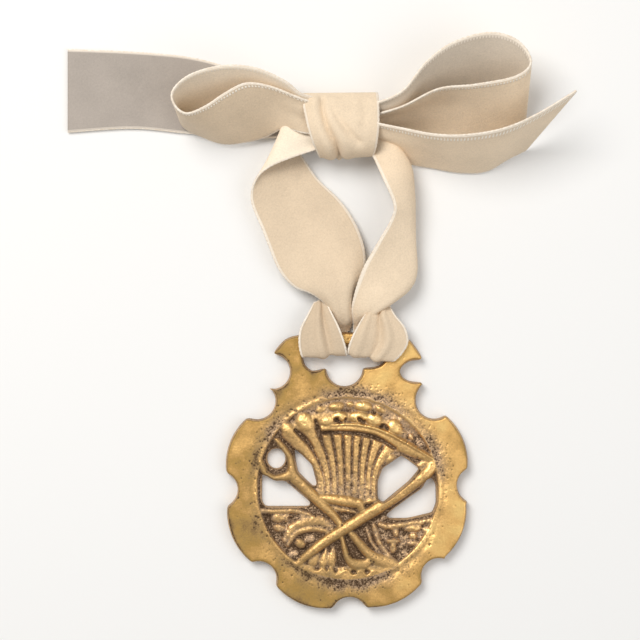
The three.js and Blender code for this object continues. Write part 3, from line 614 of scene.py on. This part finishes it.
def sampled(values, x, y):
    """The map's values at any places."""
    column = np.clip((x - MAP_LOW[0]) / CELL, 0, MAP_SIZE[0] - 1.001)
    row = np.clip((y - MAP_LOW[1]) / CELL, 0, MAP_SIZE[1] - 1.001)
    left, low = column.astype(int), row.astype(int)
    return between(values, low, left, row - low, column - left)


# ---------------------------------------------------------------- the casting

LOBE_RADII = [38.5, 37.9, 38.4, 38.5, 38.5, 38.6]
BITE_RADIUS = 5.4
BITE_CENTRE = 39.0


def casting_outline():
    top = smooth_rows([
        [-22.8, 41], [-20.5, 44], [-17.4, 46.2], [-10, 47.2], [0, 47.6], [10, 47.1], [17.8, 46],
        [20.6, 43.4], [23, 39.7],
    ], 24)
    right_tooth = smooth_rows([
        [22.6, 39], [19.4, 38.8], [16.9, 37.2], [16, 35.4], [17.3, 33.4], [19.6, 32.5], [23.2, 32.2],
    ], 14)
    parts = [
        [[-24.2, 30.5]], arc_points(-22.9, 35.5, BITE_RADIUS, -88, 85, 10), top, right_tooth,
        arc_points(26.6, 26.7, 5.7, 152, 303, 12),
    ]
    angles = [1 + 45 * step for step in (1, 0, -1, -2, -3, -4, -5)]
    last = len(LOBE_RADII) - 1
    for index, radius in enumerate(LOBE_RADII):
        start = math.radians(angles[index] - (9.1 if index == 0 else 7.8))
        end = math.radians(angles[index + 1] + (9.1 if index == last else 7.8))
        share = np.linspace(-1, 1, 13)
        turn = start + (end - start) * (share + 1) / 2
        reach = radius - 1.2 * share ** 2
        parts.append(np.stack([reach * np.cos(turn), reach * np.sin(turn)], axis=1))
        if index < last:
            angle = angles[index + 1]
            x = BITE_CENTRE * math.cos(math.radians(angle))
            y = BITE_CENTRE * math.sin(math.radians(angle))
            parts.append(arc_points(x, y, BITE_RADIUS, angle + 112, angle + 248, 10))
    parts.append(arc_points(-27.7, 26.5, 5.7, 247, 399, 12))
    return np.vstack(parts)


def opening_outlines():
    ring = arc_points(0, 0, 1, 0, 340, 17) * [2.8, 3.1] + [-21.8, 8.9]
    slot = np.vstack([
        [[-13.6, 39.4], [-13.5, 41.4], [-12.2, 43], [-10, 43.4], [8.6, 43.3], [10.9, 42.5], [11.9, 40.8],
         [11.5, 38.8], [10, 37.4], [8.2, 36.9]],
        arc_points(-0.9, 36.6, 5.6, 0, -180, 14),
        [[-9.3, 35.9], [-10.9, 35.7], [-12.3, 36.7], [-13.2, 38]],
    ])
    return [
        ring,
        [[-16.1, 12], [-10.9, 6.9], [-9.3, 0.7], [-10.4, 0.3], [-15.1, 4.9], [-16.1, 10.1]],
        [[-26.1, 4.3], [-22.6, 2], [-19.1, 2], [-11.2, -4.7], [-11.7, -5.7], [-25.2, -5.7], [-26.2, -4]],
        [[16.6, 9.8], [22, 5.8], [18.8, 2], [10.8, -4.6], [9.3, -3.5], [9.3, 1.8], [10.8, 5.8],
         [13.9, 7.9]],
        [[25.9, 3.1], [27, 1], [27.1, -4.6], [26, -7.6], [18.5, -9.4], [12.4, -9.4], [11.7, -8.5],
         [18.5, -3.4], [23, -0.3], [24.3, 2.3]],
        slot,
    ]


def crossings(loops, y):
    """Where the horizontal line at y crosses the loops, from left to right."""
    found = []
    for loop in loops:
        start, end = loop, np.roll(loop, -1, axis=0)
        hit = (start[:, 1] <= y) != (end[:, 1] <= y)
        share = (y - start[hit, 1]) / (end[hit, 1] - start[hit, 1])
        found.append(start[hit, 0] + share * (end[hit, 0] - start[hit, 0]))
    return np.sort(np.concatenate(found))


def inside_points(loops, spacing, offsets=()):
    """A triangular lattice inside the loops, clear of them."""
    low, high = loops[0].min(axis=0), loops[0].max(axis=0)
    points = []
    for number, y in enumerate([*np.arange(low[1] + 0.1, high[1], spacing * 0.866), *offsets]):
        shift = spacing / 2 if number % 2 else 0.0
        edges = crossings(loops, y)
        for left, right in zip(edges[::2], edges[1::2]):
            first = math.ceil((left + 0.4 * spacing - shift) / spacing)
            final = math.floor((right - 0.4 * spacing - shift) / spacing)
            for step in range(first, final + 1):
                points.append((step * spacing + shift, y))
    points = np.array(points)
    away = edge_distance(points, loops)
    keep = away > 0.45 * spacing
    return points[keep], away[keep]


def edge_distance(points, loops):
    border = np.vstack(loops).astype(np.float32)
    result = []
    for start in range(0, len(points), 4000):
        part = points[start:start + 4000].astype(np.float32)
        gap = (part[:, None, 0] - border[None, :, 0]) ** 2 + (part[:, None, 1] - border[None, :, 1]) ** 2
        result.append(np.sqrt(gap.min(axis=1)))
    return np.concatenate(result)


def filled(loops, inner):
    """Triangles over the area between the loops, through the inner points as well."""
    border = np.vstack(loops)
    edges = []
    start = 0
    for loop in loops:
        count = len(loop)
        edges += [(start + index, start + (index + 1) % count) for index in range(count)]
        start += count
    points = np.vstack([border, inner])
    vectors = [Vector(point) for point in points.tolist()]
    _, _, triangles, source, _, _ = delaunay_2d_cdt(vectors, edges, [], 0, 1e-5)
    number = [origin[0] for origin in source]
    kept = []
    for triangle in triangles:
        corners = [number[corner] for corner in triangle]
        if min(corners) >= len(border):
            kept.append(corners)
            continue
        x, y = points[corners].mean(axis=0)
        if np.sum(crossings(loops, y) > x) % 2 == 1:
            kept.append(corners)
    return kept


# Where the brass has darkened most: x, y, reach and how much.
DARK_PATCHES = [
    [-15, 37, 11, 0.34], [-2, 33, 8, 0.10], [12, 41, 9, 0.06], [0, -36, 13, 0.17], [-22, -30, 9, 0.10],
    [26, -26, 8, 0.08], [-36, -12, 10, 0.12], [-33, 12, 9, 0.16], [31, 14, 15, 0.15],
    [24, -22, 10, 0.06],
]


def patina_and_shade_map(smooth_height, height, in_medallion):
    """How dark the brass is made, from 0 to 1 and a little past both: its patina, and painted shade
    towards the lower left.
    """
    cavity = blurred(height, 0.7) - height
    deep = blurred(height, 2.2) - height
    low = 1 - ease(height, 2.6, 4.35)
    patina_and_shade = 0.31 + 1.05 * np.clip(cavity, -0.15, 0.5) + 0.40 * np.clip(deep, -0.2, 0.8)
    patina_and_shade += in_medallion * (0.04 + 0.13 * low) + (1 - in_medallion) * 0.50 * pitting()
    polished_ears = ease(height, 4.05, 4.5) * ease(map_y, 14.0, 20.0)
    patina_and_shade -= in_medallion * 0.80 * polished_ears
    patina_and_shade += 2.2 * (smooth_height - height) + 0.15 * map_noise(7.0, 5) + 0.12 * map_noise(2.6, 6)
    # Painted shade: the brass is made darker towards the lower left and lighter towards the upper right.
    lower_left_shade = 0.5 - 0.5 * (map_x * 0.8 + map_y * 0.5) / 40
    patina_and_shade += 0.55 * (lower_left_shade - 0.5)
    for x, y, reach, amount in DARK_PATCHES:
        patina_and_shade += amount * np.exp(-((map_x - x) ** 2 + (map_y - y) ** 2) / reach ** 2)
    calm = 0.56 + 0.66 * (patina_and_shade - 0.44)
    return patina_and_shade + in_medallion * (calm - patina_and_shade)


def casting_mesh():
    """The casting as one closed mesh: its walls, its front from the height map, and its plain back."""
    smooth_height = casting_height()
    height = add_pits(smooth_height.copy())
    in_medallion = 1 - ease(map_radius, MEDALLION - 0.6, MEDALLION + 0.5)
    patina_and_shade = patina_and_shade_map(smooth_height, height, in_medallion)
    stipple = in_medallion * (0.25 + 0.75 * ease(4.1 - height, 0.0, 1.2)) + pitting()
    stipple = np.clip(stipple, 0, 1)
    outline = rounded(casting_outline(), 0.3, 0.72)
    holes = [rounded(points, 0.3, 0.58) for points in opening_outlines()]
    edge_round = 0.5
    draft = 0.42
    # How far in from the edges the painted edge shade reaches.
    edge_shade_reach = 0.42
    wall_levels = [0.0, 0.25, 0.5, 0.75, 1.0]
    loops = [outline] + holes
    signs = [1] + [-1] * len(holes)
    front_loops = [moved(loop, sign * draft) for loop, sign in zip(loops, signs)]
    points, patinas_and_shade, stipples, faces = [], [], [], []
    starts = {}

    def add_points(rows, darkness, roughness):
        start = sum(len(part) for part in points)
        points.append(np.column_stack(rows))
        patinas_and_shade.append(darkness + np.zeros(len(points[-1])))
        stipples.append(roughness + np.zeros(len(points[-1])))
        return start

    def fill(outlines, level, inner, start, turned):
        border = [np.arange(len(loop)) + starts[number, level] for number, loop in enumerate(outlines)]
        lookup = np.concatenate(border + [start + np.arange(len(inner))])
        faces.extend(lookup[triangle[::turned]].tolist() for triangle in filled(outlines, inner))

    for number, (loop, front, sign) in enumerate(zip(loops, front_loops, signs)):
        rim_height = sampled(height, front[:, 0], front[:, 1]) - edge_round
        back = np.where(loop[:, 1] > HANGER_STEP, HANGER_BACK, 0.0)
        index = np.arange(len(loop))
        for level, share in enumerate(wall_levels):
            ring = moved(loop, sign * draft * share)
            # The walls are painted dark, most at the back: patina and painted shade, for the casting's
            # dark outline.
            darkness = 0.72 - 0.2 * share + 0.1 * np.sin(index * 0.11 + level)
            starts[number, level] = add_points([ring, back + (rim_height - back) * share], darkness, 0.6)
        after = (index + 1) % len(loop)
        for level in range(len(wall_levels) - 1):
            first, second = starts[number, level], starts[number, level + 1]
            strip = np.column_stack([first + index, first + after, second + after, second + index])
            faces.extend((strip if sign > 0 else strip[:, ::-1]).tolist())

    inner, away = inside_points(front_loops, DETAIL)
    x, y = inner[:, 0], inner[:, 1]
    drop = edge_round * (1 - np.sqrt(1 - np.clip(1 - away / edge_round, 0, 1) ** 2))
    # Painted shade: the front is darkened near its edges, for a dark outline round the casting.
    patina_and_edge_shade = sampled(patina_and_shade, x, y) + 0.55 * np.exp(-away / edge_shade_reach)
    start = add_points([inner, sampled(height, x, y) - drop], patina_and_edge_shade, sampled(stipple, x, y))
    fill(front_loops, len(wall_levels) - 1, inner, start, 1)

    behind, _ = inside_points(loops, 1.5, offsets=[HANGER_STEP - 0.15, HANGER_STEP + 0.15])
    flat = np.where(behind[:, 1] > HANGER_STEP, HANGER_BACK, 0.0)
    start = add_points([behind, flat], 0.45, 0.4)
    fill(loops, 0, behind, start, -1)

    piece = make_object("horse_brass", np.vstack(points), faces, [brass_material()])
    set_attribute(piece, "patina_and_shade", np.clip(np.concatenate(patinas_and_shade), 0, 1))
    set_attribute(piece, "stipple", np.concatenate(stipples))
    return piece


# ---------------------------------------------------------------- the ribbon
# Each stretch is rows of control points across the ribbon, from one selvedge to the other. A row holds
# x, y, z for each control point, then how far the middle stands out and how deeply the row is pleated.
# Where both are 0 they are left out.

COLUMNS = 28
RIBBON_WIDTH = 25.0


def unit_normals(grid):
    normal = np.cross(np.gradient(grid, axis=0), np.gradient(grid, axis=1))
    return normal / np.maximum(np.linalg.norm(normal, axis=2, keepdims=True), 1e-9)


def across(rows, controls, shares):
    """Points across each row through its two or three control points."""
    points = rows[:, :3 * controls].reshape(len(rows), controls, 3)
    if controls == 2:
        return points[:, :1] * (1 - shares)[None, :, None] + points[:, 1:] * shares[None, :, None]
    first, middle, last = points[:, :1], points[:, 1:2], points[:, 2:3]
    share = shares[None, :, None]
    control = 2 * middle - (first + last) / 2
    return first * (1 - share) ** 2 + 2 * control * share * (1 - share) + last * share ** 2


def ribbon_stretch(rows, controls=2, waves=2.0, phase=0.0, spacing=0.8, lean=0.0):
    """A grid of points over one stretch of ribbon. A lean makes its pleats sharper on one side."""
    full = [row + [0] * (3 * controls + 2 - len(row)) for row in rows]
    even = spaced_rows(full, spacing, 3 * controls)
    shares = np.linspace(0, 1, COLUMNS + 1)
    grid = across(even, controls, shares)
    crown = even[:, 3 * controls][:, None]
    pleat = even[:, 3 * controls + 1][:, None]
    arch = 4 * shares * (1 - shares)
    turn = 2 * math.pi * (waves * shares + phase)
    fold = np.sin(turn + lean * np.sin(turn)) * (0.35 + 0.65 * arch)
    return grid + unit_normals(grid) * (crown * arch + pleat * fold)[:, :, None]


LEFT_TAIL = [
    [-85.7, 134, 0.8, -85.7, 109, 0.8], [-66, 133.2, 0.8, -66, 110.2, 0.8, 0.3, 0],
    [-48, 131.5, 0.8, -50, 108.8, 0.8, 0.3, 0], [-34, 127.5, 1, -34, 107.6, 0.9, 0.4, 0],
    [-22, 122, 2.2, -22, 107.4, 1.6, 0.5, 0.2], [-8, 117, 4, -8, 110, 4, 0.5, 0.5],
]
LEFT_LOOP = [
    [-8, 118, 11, -8, 112, 5, 0, 0.4], [-14.1, 119.3, 14.6, -14, 112.4, 4.2, 0, 0.2],
    [-19.1, 122.9, 17, -20, 113.2, 3.4], [-27.8, 126.5, 18.6, -28, 114.4, 3],
    [-37.6, 127.1, 19, -37, 114.6, 2.6], [-47.2, 124.4, 19, -45.4, 113.6, 2.6],
    [-52.4, 119.6, 19, -50.6, 112, 2.6], [-51.6, 115.2, 19, -49.2, 109.8, 2.6],
    [-48, 113, 19, -45.2, 107.8, 2.6], [-42.4, 115.2, 19, -37.9, 105.3, 2.6, -0.6, 0],
    [-36.7, 119, 18.8, -30.6, 105.9, 2.8, -0.8, 0], [-30.5, 122, 18.2, -25, 107.4, 3.2, -0.6, 0],
    [-23.3, 121.2, 16.8, -19.4, 109.6, 6.6, 0.6, 0], [-14.1, 117.9, 14.2, -13.4, 108, 10.6, 0.8, 0.2],
    [-8, 116.2, 11.6, -8, 107.4, 10.4, 0.3, 0.3],
]
RIGHT_LOOP = [
    [4, 115.4, 11, 4, 110.6, 4, 0, 0.4], [15.8, 119.6, 15.5, 15, 110.8, 2.4, 0, 0.3],
    [23.6, 128.6, 18, 23.4, 113.6, 1.6], [32, 134.4, 18.8, 31.6, 117.8, 1.4],
    [42.4, 137, 19, 41.8, 119.6, 1.4], [50.6, 134.6, 19, 50.2, 117.2, 1.4],
    [54.6, 128.4, 19, 54.2, 110.6, 1.4], [50, 124, 19, 49.4, 107, 1.4],
    [38, 121.6, 18.6, 37.8, 105, 1.4, -1.6, 0], [27, 120.4, 17.6, 27, 105.4, 1.4, -3.6, 0.2],
    [16, 115.4, 13.8, 16, 107.6, 2.2, -2.4, 0.3], [4, 112.4, 10, 4, 108.6, 4, 0, 0.3],
]
RIGHT_TAIL = [
    [4, 111.6, 12, 4, 105.4, 4, 0, 0.5], [16.6, 108.6, 17, 17.4, 99.8, 1.4, 0, 0.2],
    [26, 106.6, 20, 26.2, 98, 0.8], [35.4, 106.4, 21, 34.6, 96.6, 0.8], [46, 108.2, 21.2, 42.4, 97, 0.8],
    [56, 112.4, 21, 49, 100.6, 0.8], [68, 119.6, 20.2, 54.6, 103.4, 0.8],
]
LEFT_STRAND = [
    [-8, 103.6, 9.4, -8, 110.4, 8.6, 0, 0.4], [-16, 101, 9.4, -13, 111.4, 8.6, 0, 0.2],
    [-22.6, 98.4, 9, -17.6, 111.2, 7.8], [-26.4, 95.8, 8.4, -20, 109.6, 6, 0.3, 0],
    [-28.4, 92.8, 7.6, -18.6, 106, 3.6, 0.3, 0], [-29.1, 89.8, 6.6, -14.3, 101.4, 2.6, 0.2, 0],
    [-28.9, 86.8, 6.2, -9.4, 94.4, 2.2, -0.4, 0], [-27.7, 83.4, 6, -3.2, 88.4, 2.2, -0.8, 0],
    [-26, 79.6, 6, 0.4, 83.8, 2.4, -1, 0], [-24, 74.5, 5.8, 3, 79, 2.8, -0.8, 0],
    [-20.8, 66.9, 5.4, 4.8, 73.6, 3.4], [-16.4, 61.8, 5.2, 5.2, 68.6, 4, 1, 0.2],
    [-11.2, 59.6, 5.6, 3.8, 64.2, 4.4, 1.8, 0.4], [-7.6, 57.2, 5.4, 2, 60.4, 4.6, 2.2, 0.5],
    [-5.4, 54.2, 4.4, 1.2, 56, 4.2, 2.2, 0.4], [-4.2, 51.4, 3, 1.3, 52, 3, 1.6, 0.3],
    [-4.4, 49, 1.4, 0.8, 49.2, 1.4, 0.6, 0.1], [-7.6, 45.8, 0.8, -1, 45.8, 0.8],
    [-11, 43, 0.8, -1.4, 43, 0.8],
]
RIGHT_STRAND = [
    [4, 105.6, 6.8, 5, 107.4, 6, 4, 108.6, 4, 0, 0.2], [7.4, 101.8, 8, 13.6, 105, 8, 10, 103.6, 3],
    [10.6, 94.4, 12.8, 18.8, 98.4, 7, 14.6, 97.4, 1.2], [14, 86.4, 12.6, 20.2, 89.4, 6.6, 16, 88.4, 1],
    [13.3, 81.7, 11.8, 20.4, 82, 6, 15.4, 81.6, 1], [9.4, 74.8, 10.4, 20.4, 74.6, 5.8, 14.6, 73.4, 1],
    [5.4, 67.9, 8.8, 20.2, 67, 5.8, 14, 65.4, 1.4, 0.4, 0],
    [3.6, 63.4, 7.6, 18, 62, 6.4, 12.6, 60.6, 2.4, 0.8, 0.1],
    [2.3, 59, 6.4, 12.8, 57.6, 6.8, 9, 56.8, 3.4, 0.8, 0.2],
    [1.5, 54.8, 4.8, 8.4, 54.4, 6, 6.4, 54, 3.2, 0.6, 0.2],
    [1.8, 51.6, 3, 5.8, 51.4, 3.8, 6, 51, 2.4, 0.2, 0.1], [2, 49.2, 1.4, 4.4, 49.2, 1.6, 6.8, 49.2, 1.4],
    [2, 45.8, 0.8, 4.8, 45.8, 0.8, 8.2, 45.8, 0.8], [1.6, 43, 0.8, 5.6, 43, 0.8, 10.2, 43, 0.8],
]
LEFT_KNUCKLE = [
    [-11.2, 43.2, 0.8, -1.4, 43.2, 0.8], [-12.2, 41.4, 1, -1.2, 41.4, 1, 0, 0.2],
    [-12.8, 40.4, 2.8, -0.8, 40.8, 2.8, 0, 0.4], [-13.8, 40.2, 5.2, -0.4, 41.2, 5.4, 0, 0.8],
    [-14.6, 44, 6.2, -1.2, 44.6, 6.6, 0.3, 1], [-14.2, 48.4, 6.4, -3, 49.4, 6.8, 0.4, 1],
    [-12.2, 52.6, 5.8, -5.2, 53.8, 6, 0.3, 0.8], [-10.2, 56.4, 4.2, -6.8, 57.2, 4.4, 0, 0.3],
]
RIGHT_KNUCKLE = [
    [1.4, 43.2, 0.8, 10.4, 43.2, 0.8], [1, 41.4, 1, 10.8, 41.2, 1, 0, 0.2],
    [0.6, 40.8, 2.8, 11.2, 40, 2.8, 0, 0.4], [0.2, 41.2, 5.4, 14, 38.8, 5.4, 0, 0.8],
    [0.8, 44, 6.6, 18, 43.8, 6, 0.3, 1.1], [2.4, 47.8, 6.8, 17.4, 48.6, 6.2, 0.4, 1.1],
    [4.8, 52, 6.2, 14.4, 52.6, 6, 0.3, 0.9], [7.4, 56, 4.4, 12.2, 56.4, 4.4, 0, 0.4],
]
HITCH_CROSSING = [
    [-10.2, 56.4, 4.2, -9.2, 53.6, 3.8], [-5, 58.4, 3, -5, 54.4, 2.2], [0.4, 59, 2.6, 0.4, 54.8, 1.8],
    [5.6, 58.4, 3, 5.6, 54.4, 2.2], [11.2, 56.4, 4.2, 10.4, 53.6, 3.8],
]
KNOT_UPPER = [
    [-10.6, 117.4, 10.4, -9.6, 104.2, 9.2, 0.6, 0.7], [-5, 117, 10.2, -4.6, 104, 9.4, 0.6, 0.8],
    [2, 116.8, 10.2, 2, 104, 9.2, 0.6, 0.8], [8, 116.6, 10.4, 7.4, 104.2, 9, 0.6, 0.7],
]
KNOT_LOWER = [
    [-10.4, 117.2, 5.4, -9.4, 103.8, 5.4, -0.4, 0.9], [-5, 117, 5.6, -4.6, 103.8, 5.4, -0.4, 0.9],
    [2, 116.8, 5.4, 2, 103.8, 5.4, -0.4, 0.9], [7.8, 116.6, 5.4, 7.2, 103.8, 5.4, -0.4, 0.9],
]
KNOT_BAND = [
    [-10.5, 109.6, 0.9, 8.2, 109.6, 0.9], [-12, 115.4, 1.6, 8.5, 115.4, 1.6],
    [-13.2, 119.2, 5.4, 8.8, 119.4, 5.4], [-13.7, 119.6, 9.4, 8.9, 119.8, 9.4],
    [-13.4, 117, 12.6, 9.1, 117, 12.6, 0.2, 0], [-12.7, 113.2, 13.6, 9.2, 113, 13.6, 0.3, 0],
    [-11.7, 109, 13.7, 9.1, 108.8, 13.7, 0.4, 0], [-10.5, 105.2, 12.6, 8.6, 104.8, 12.6, 0.4, 0],
    [-9.2, 102.4, 10, 8, 102.2, 10, 0.3, 0], [-8.4, 101, 6.6, 7.6, 101.2, 6.6],
    [-8.6, 102, 3, 7.5, 102, 3], [-9.4, 105.4, 1.2, 7.8, 105.4, 1.2],
    [-10.5, 109.6, 0.9, 8.2, 109.6, 0.9],
]
KNOT_CREASES = [
    [[-7.8, 118.8], [-7.6, 114.2], [-6.1, 109.3], [-3.7, 104.4], [-2.1, 99.5]],
    [[-5.6, 118], [-4.2, 113.4], [-1, 109.3], [3.2, 105.2]],
    [[4.6, 117.4], [5, 113], [4.4, 109.4]],
]
CREASE_DEPTHS = [1.5, 0.6, 0.25]


def knot_band():
    """The turn round the knot, with the soft folds that run down across its front."""
    grid = ribbon_stretch(KNOT_BAND, spacing=0.6)
    y, z = grid[:, :, 1], grid[:, :, 2]
    front = ease(z, 7.0, 12.0) * (1 - ease(y, 117.0, 119.4))
    front = np.maximum(front, ease(z, 4.0, 8.0) * (1 - ease(y, 104.0, 108.0)))
    normal = unit_normals(grid)
    outward = np.where(normal[:, :, 2:3] * front[:, :, None] < 0, -1.0, 1.0) * normal
    push = np.zeros(front.shape)
    for crease, depth in zip(KNOT_CREASES, CREASE_DEPTHS):
        line = spaced_rows(crease, 0.3)
        side_x = grid[:, :, None, 0] - line[None, None, :, 0]
        side_y = grid[:, :, None, 1] - line[None, None, :, 1]
        gap = np.sqrt(side_x ** 2 + side_y ** 2)
        nearest = gap.argmin(axis=2)
        gap = gap.min(axis=2)
        right = np.take_along_axis(side_x, nearest[:, :, None], axis=2)[:, :, 0] > 0
        push -= depth * np.exp(-(gap / 0.85) ** 2)
        push += np.where(right, 0.55, 0.7) * depth * np.exp(-((gap - 2.4) / 1.7) ** 2)
    return grid + outward * (push * front)[:, :, None]


# How light each stretch is painted, from 0 to 1, on its velvet face and on its back: partly the pile's
# own tone, partly painted light and shade for how each stretch is lit.
NAP_AND_SHADE = {
    "left_tail": (0.3, 0.04), "left_loop": (0.36, 1.0), "right_loop": (1.0, 0.60),
    "right_tail": (0.85, 0.4), "left_strand": (0.40, 0.95), "right_strand": (0.76, 0.5),
    "knot": (0.70, 0.5), "left_knuckle": (0.10, 0.5), "right_knuckle": (0.34, 0.5),
    "crossing": (0.1, 0.2), "knot_upper": (0.3, 0.4), "knot_lower": (0.3, 0.4),
}


def ribbon_stretches():
    """The stretches by name. Most are turned over, so that the velvet face is on the right side."""
    return {
        "left_tail": ribbon_stretch(LEFT_TAIL)[:, ::-1],
        "left_loop": ribbon_stretch(LEFT_LOOP),
        "right_loop": ribbon_stretch(RIGHT_LOOP)[:, ::-1],
        "right_tail": ribbon_stretch(RIGHT_TAIL),
        "left_strand": ribbon_stretch(LEFT_STRAND, waves=1.5)[:, ::-1],
        "right_strand": ribbon_stretch(RIGHT_STRAND, controls=3)[:, ::-1],
        "left_knuckle": ribbon_stretch(LEFT_KNUCKLE, waves=1.6, phase=0.1, spacing=0.5, lean=0.8),
        "right_knuckle": ribbon_stretch(RIGHT_KNUCKLE, phase=0.35, spacing=0.5, lean=-0.8),
        "crossing": ribbon_stretch(HITCH_CROSSING),
        "knot": knot_band()[:, ::-1],
        "knot_upper": ribbon_stretch(KNOT_UPPER, waves=2.5)[:, ::-1],
        "knot_lower": ribbon_stretch(KNOT_LOWER, waves=3.0, phase=0.3)[:, ::-1],
    }


def add_ribbon():
    """The cloth of all stretches as one piece, and the lines of their edges."""
    points, faces, edge_lines = [], [], []
    values = {"edge_gap": [], "run": [], "nap_and_shade": [], "back_nap_and_shade": [], "stitched": []}
    start = 0
    for name, grid in ribbon_stretches().items():
        rows, columns = grid.shape[:2]
        points.append(grid.reshape(-1, 3))
        index = np.arange(rows * columns).reshape(rows, columns) + start
        quads = np.stack([index[:-1, :-1], index[:-1, 1:], index[1:, 1:], index[1:, :-1]], axis=2)
        faces += quads.reshape(-1, 4).tolist()
        start += rows * columns
        edge_lines += [grid[:, 0], grid[:, -1]]
        column = np.arange(columns)
        near = np.minimum(column, columns - 1 - column) * RIBBON_WIDTH / (columns - 1)
        upper = column < columns / 2
        if name == "right_tail":
            near = near * np.where(upper, 0.5, 1.0)
        values["edge_gap"].append(np.tile(near, rows))
        values["run"].append(np.repeat(path_lengths(grid[:, columns // 2]), columns))
        nap_and_shade, back_nap_and_shade = NAP_AND_SHADE[name]
        nap_and_shade_values = np.full(rows * columns, nap_and_shade)
        if name == "right_loop":
            # Painted shade: a dark spot on the right loop beside the knot, in the hollow of its front
            # leg.
            hollow_shade_distance = ((grid[:, :, 0] - 18) / 10) ** 2 + ((grid[:, :, 1] - 107) / 5) ** 2
            nap_and_shade_values -= 1.3 * np.exp(-hollow_shade_distance).ravel()
        values["nap_and_shade"].append(nap_and_shade_values)
        values["back_nap_and_shade"].append(np.full(rows * columns, back_nap_and_shade))
        stitched = {"left_loop": upper, "right_tail": upper, "right_loop": ~upper}
        shown = stitched.get(name, np.zeros(columns))
        values["stitched"].append(np.tile(shown, rows).astype(float))
    cloth = make_object("ribbon_cloth", np.vstack(points), faces, [
        velvet_material(
            "velvet", "nap_and_shade", light=(0.97, 0.79, 0.58), dark=(0.68, 0.53, 0.37), stitch=(1.0, 0.91, 0.79),
            sheen=0.25, pile=0.9,
        ),
        velvet_material(
            "satin_back", "back_nap_and_shade", light=(1.0, 0.86, 0.68), dark=(0.42, 0.368, 0.325),
            stitch=(0.92, 0.82, 0.70), sheen=0.12, pile=0.35,
        ),
    ])
    for name, parts in values.items():
        set_attribute(cloth, name, np.concatenate(parts))
    solid = cloth.modifiers.new("thickness", "SOLIDIFY")
    solid.thickness = 0.7 * MM
    solid.offset = 0.0
    solid.material_offset = 1
    solid.material_offset_rim = 0
    return cloth, edge_lines


def add_selvedges(lines):
    """The woven edges of the ribbon: a thin cord along each edge, swelling where its threads turn."""
    sides = 6
    radius = 0.34
    turn_length = 1.2
    spacing = 0.3
    points, faces = [], []
    start = 0
    for line in lines:
        even = spaced_rows(line, spacing, 3)
        along = np.gradient(even, axis=0)
        along /= np.linalg.norm(along, axis=1, keepdims=True)
        helper = np.tile([0.0, 0.0, 1.0], (len(even), 1))
        steep = np.abs(along[:, 2]) > 0.9
        helper[steep] = [1.0, 0.0, 0.0]
        first = np.cross(along, helper)
        first /= np.linalg.norm(first, axis=1, keepdims=True)
        second = np.cross(along, first)
        swell = radius + 0.05 * np.sin(np.arange(len(even)) * spacing * 2 * math.pi / turn_length)
        angle = (np.arange(sides) * 2 * math.pi / sides)[None, :, None]
        ring = first[:, None] * np.cos(angle) + second[:, None] * np.sin(angle)
        points.append((even[:, None] + ring * swell[:, None, None]).reshape(-1, 3))
        index = np.arange(len(even) * sides).reshape(len(even), sides) + start
        after = np.roll(index, -1, axis=1)
        quads = np.stack([index[:-1], after[:-1], after[1:], index[1:]], axis=2)
        faces += quads.reshape(-1, 4).tolist()
        faces += [index[0][::-1].tolist(), index[-1].tolist()]
        start += len(even) * sides
    return make_object("ribbon_selvedges", np.vstack(points), faces, [selvedge_material()])


# ---------------------------------------------------------------- the whole

add_camera()
cloth, edge_lines = add_ribbon()
selvedges = add_selvedges(edge_lines)
brass = casting_mesh()
add_stage()

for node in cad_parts.values():
    piece = brass if node.name == "brass_casting" else cloth
    node.data.materials.clear()
    node.data.materials.append(piece.data.materials[0])

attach(cloth, "root")
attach(selvedges, "root")
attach(brass, "root")
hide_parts("ribbon")
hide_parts("brass_casting")
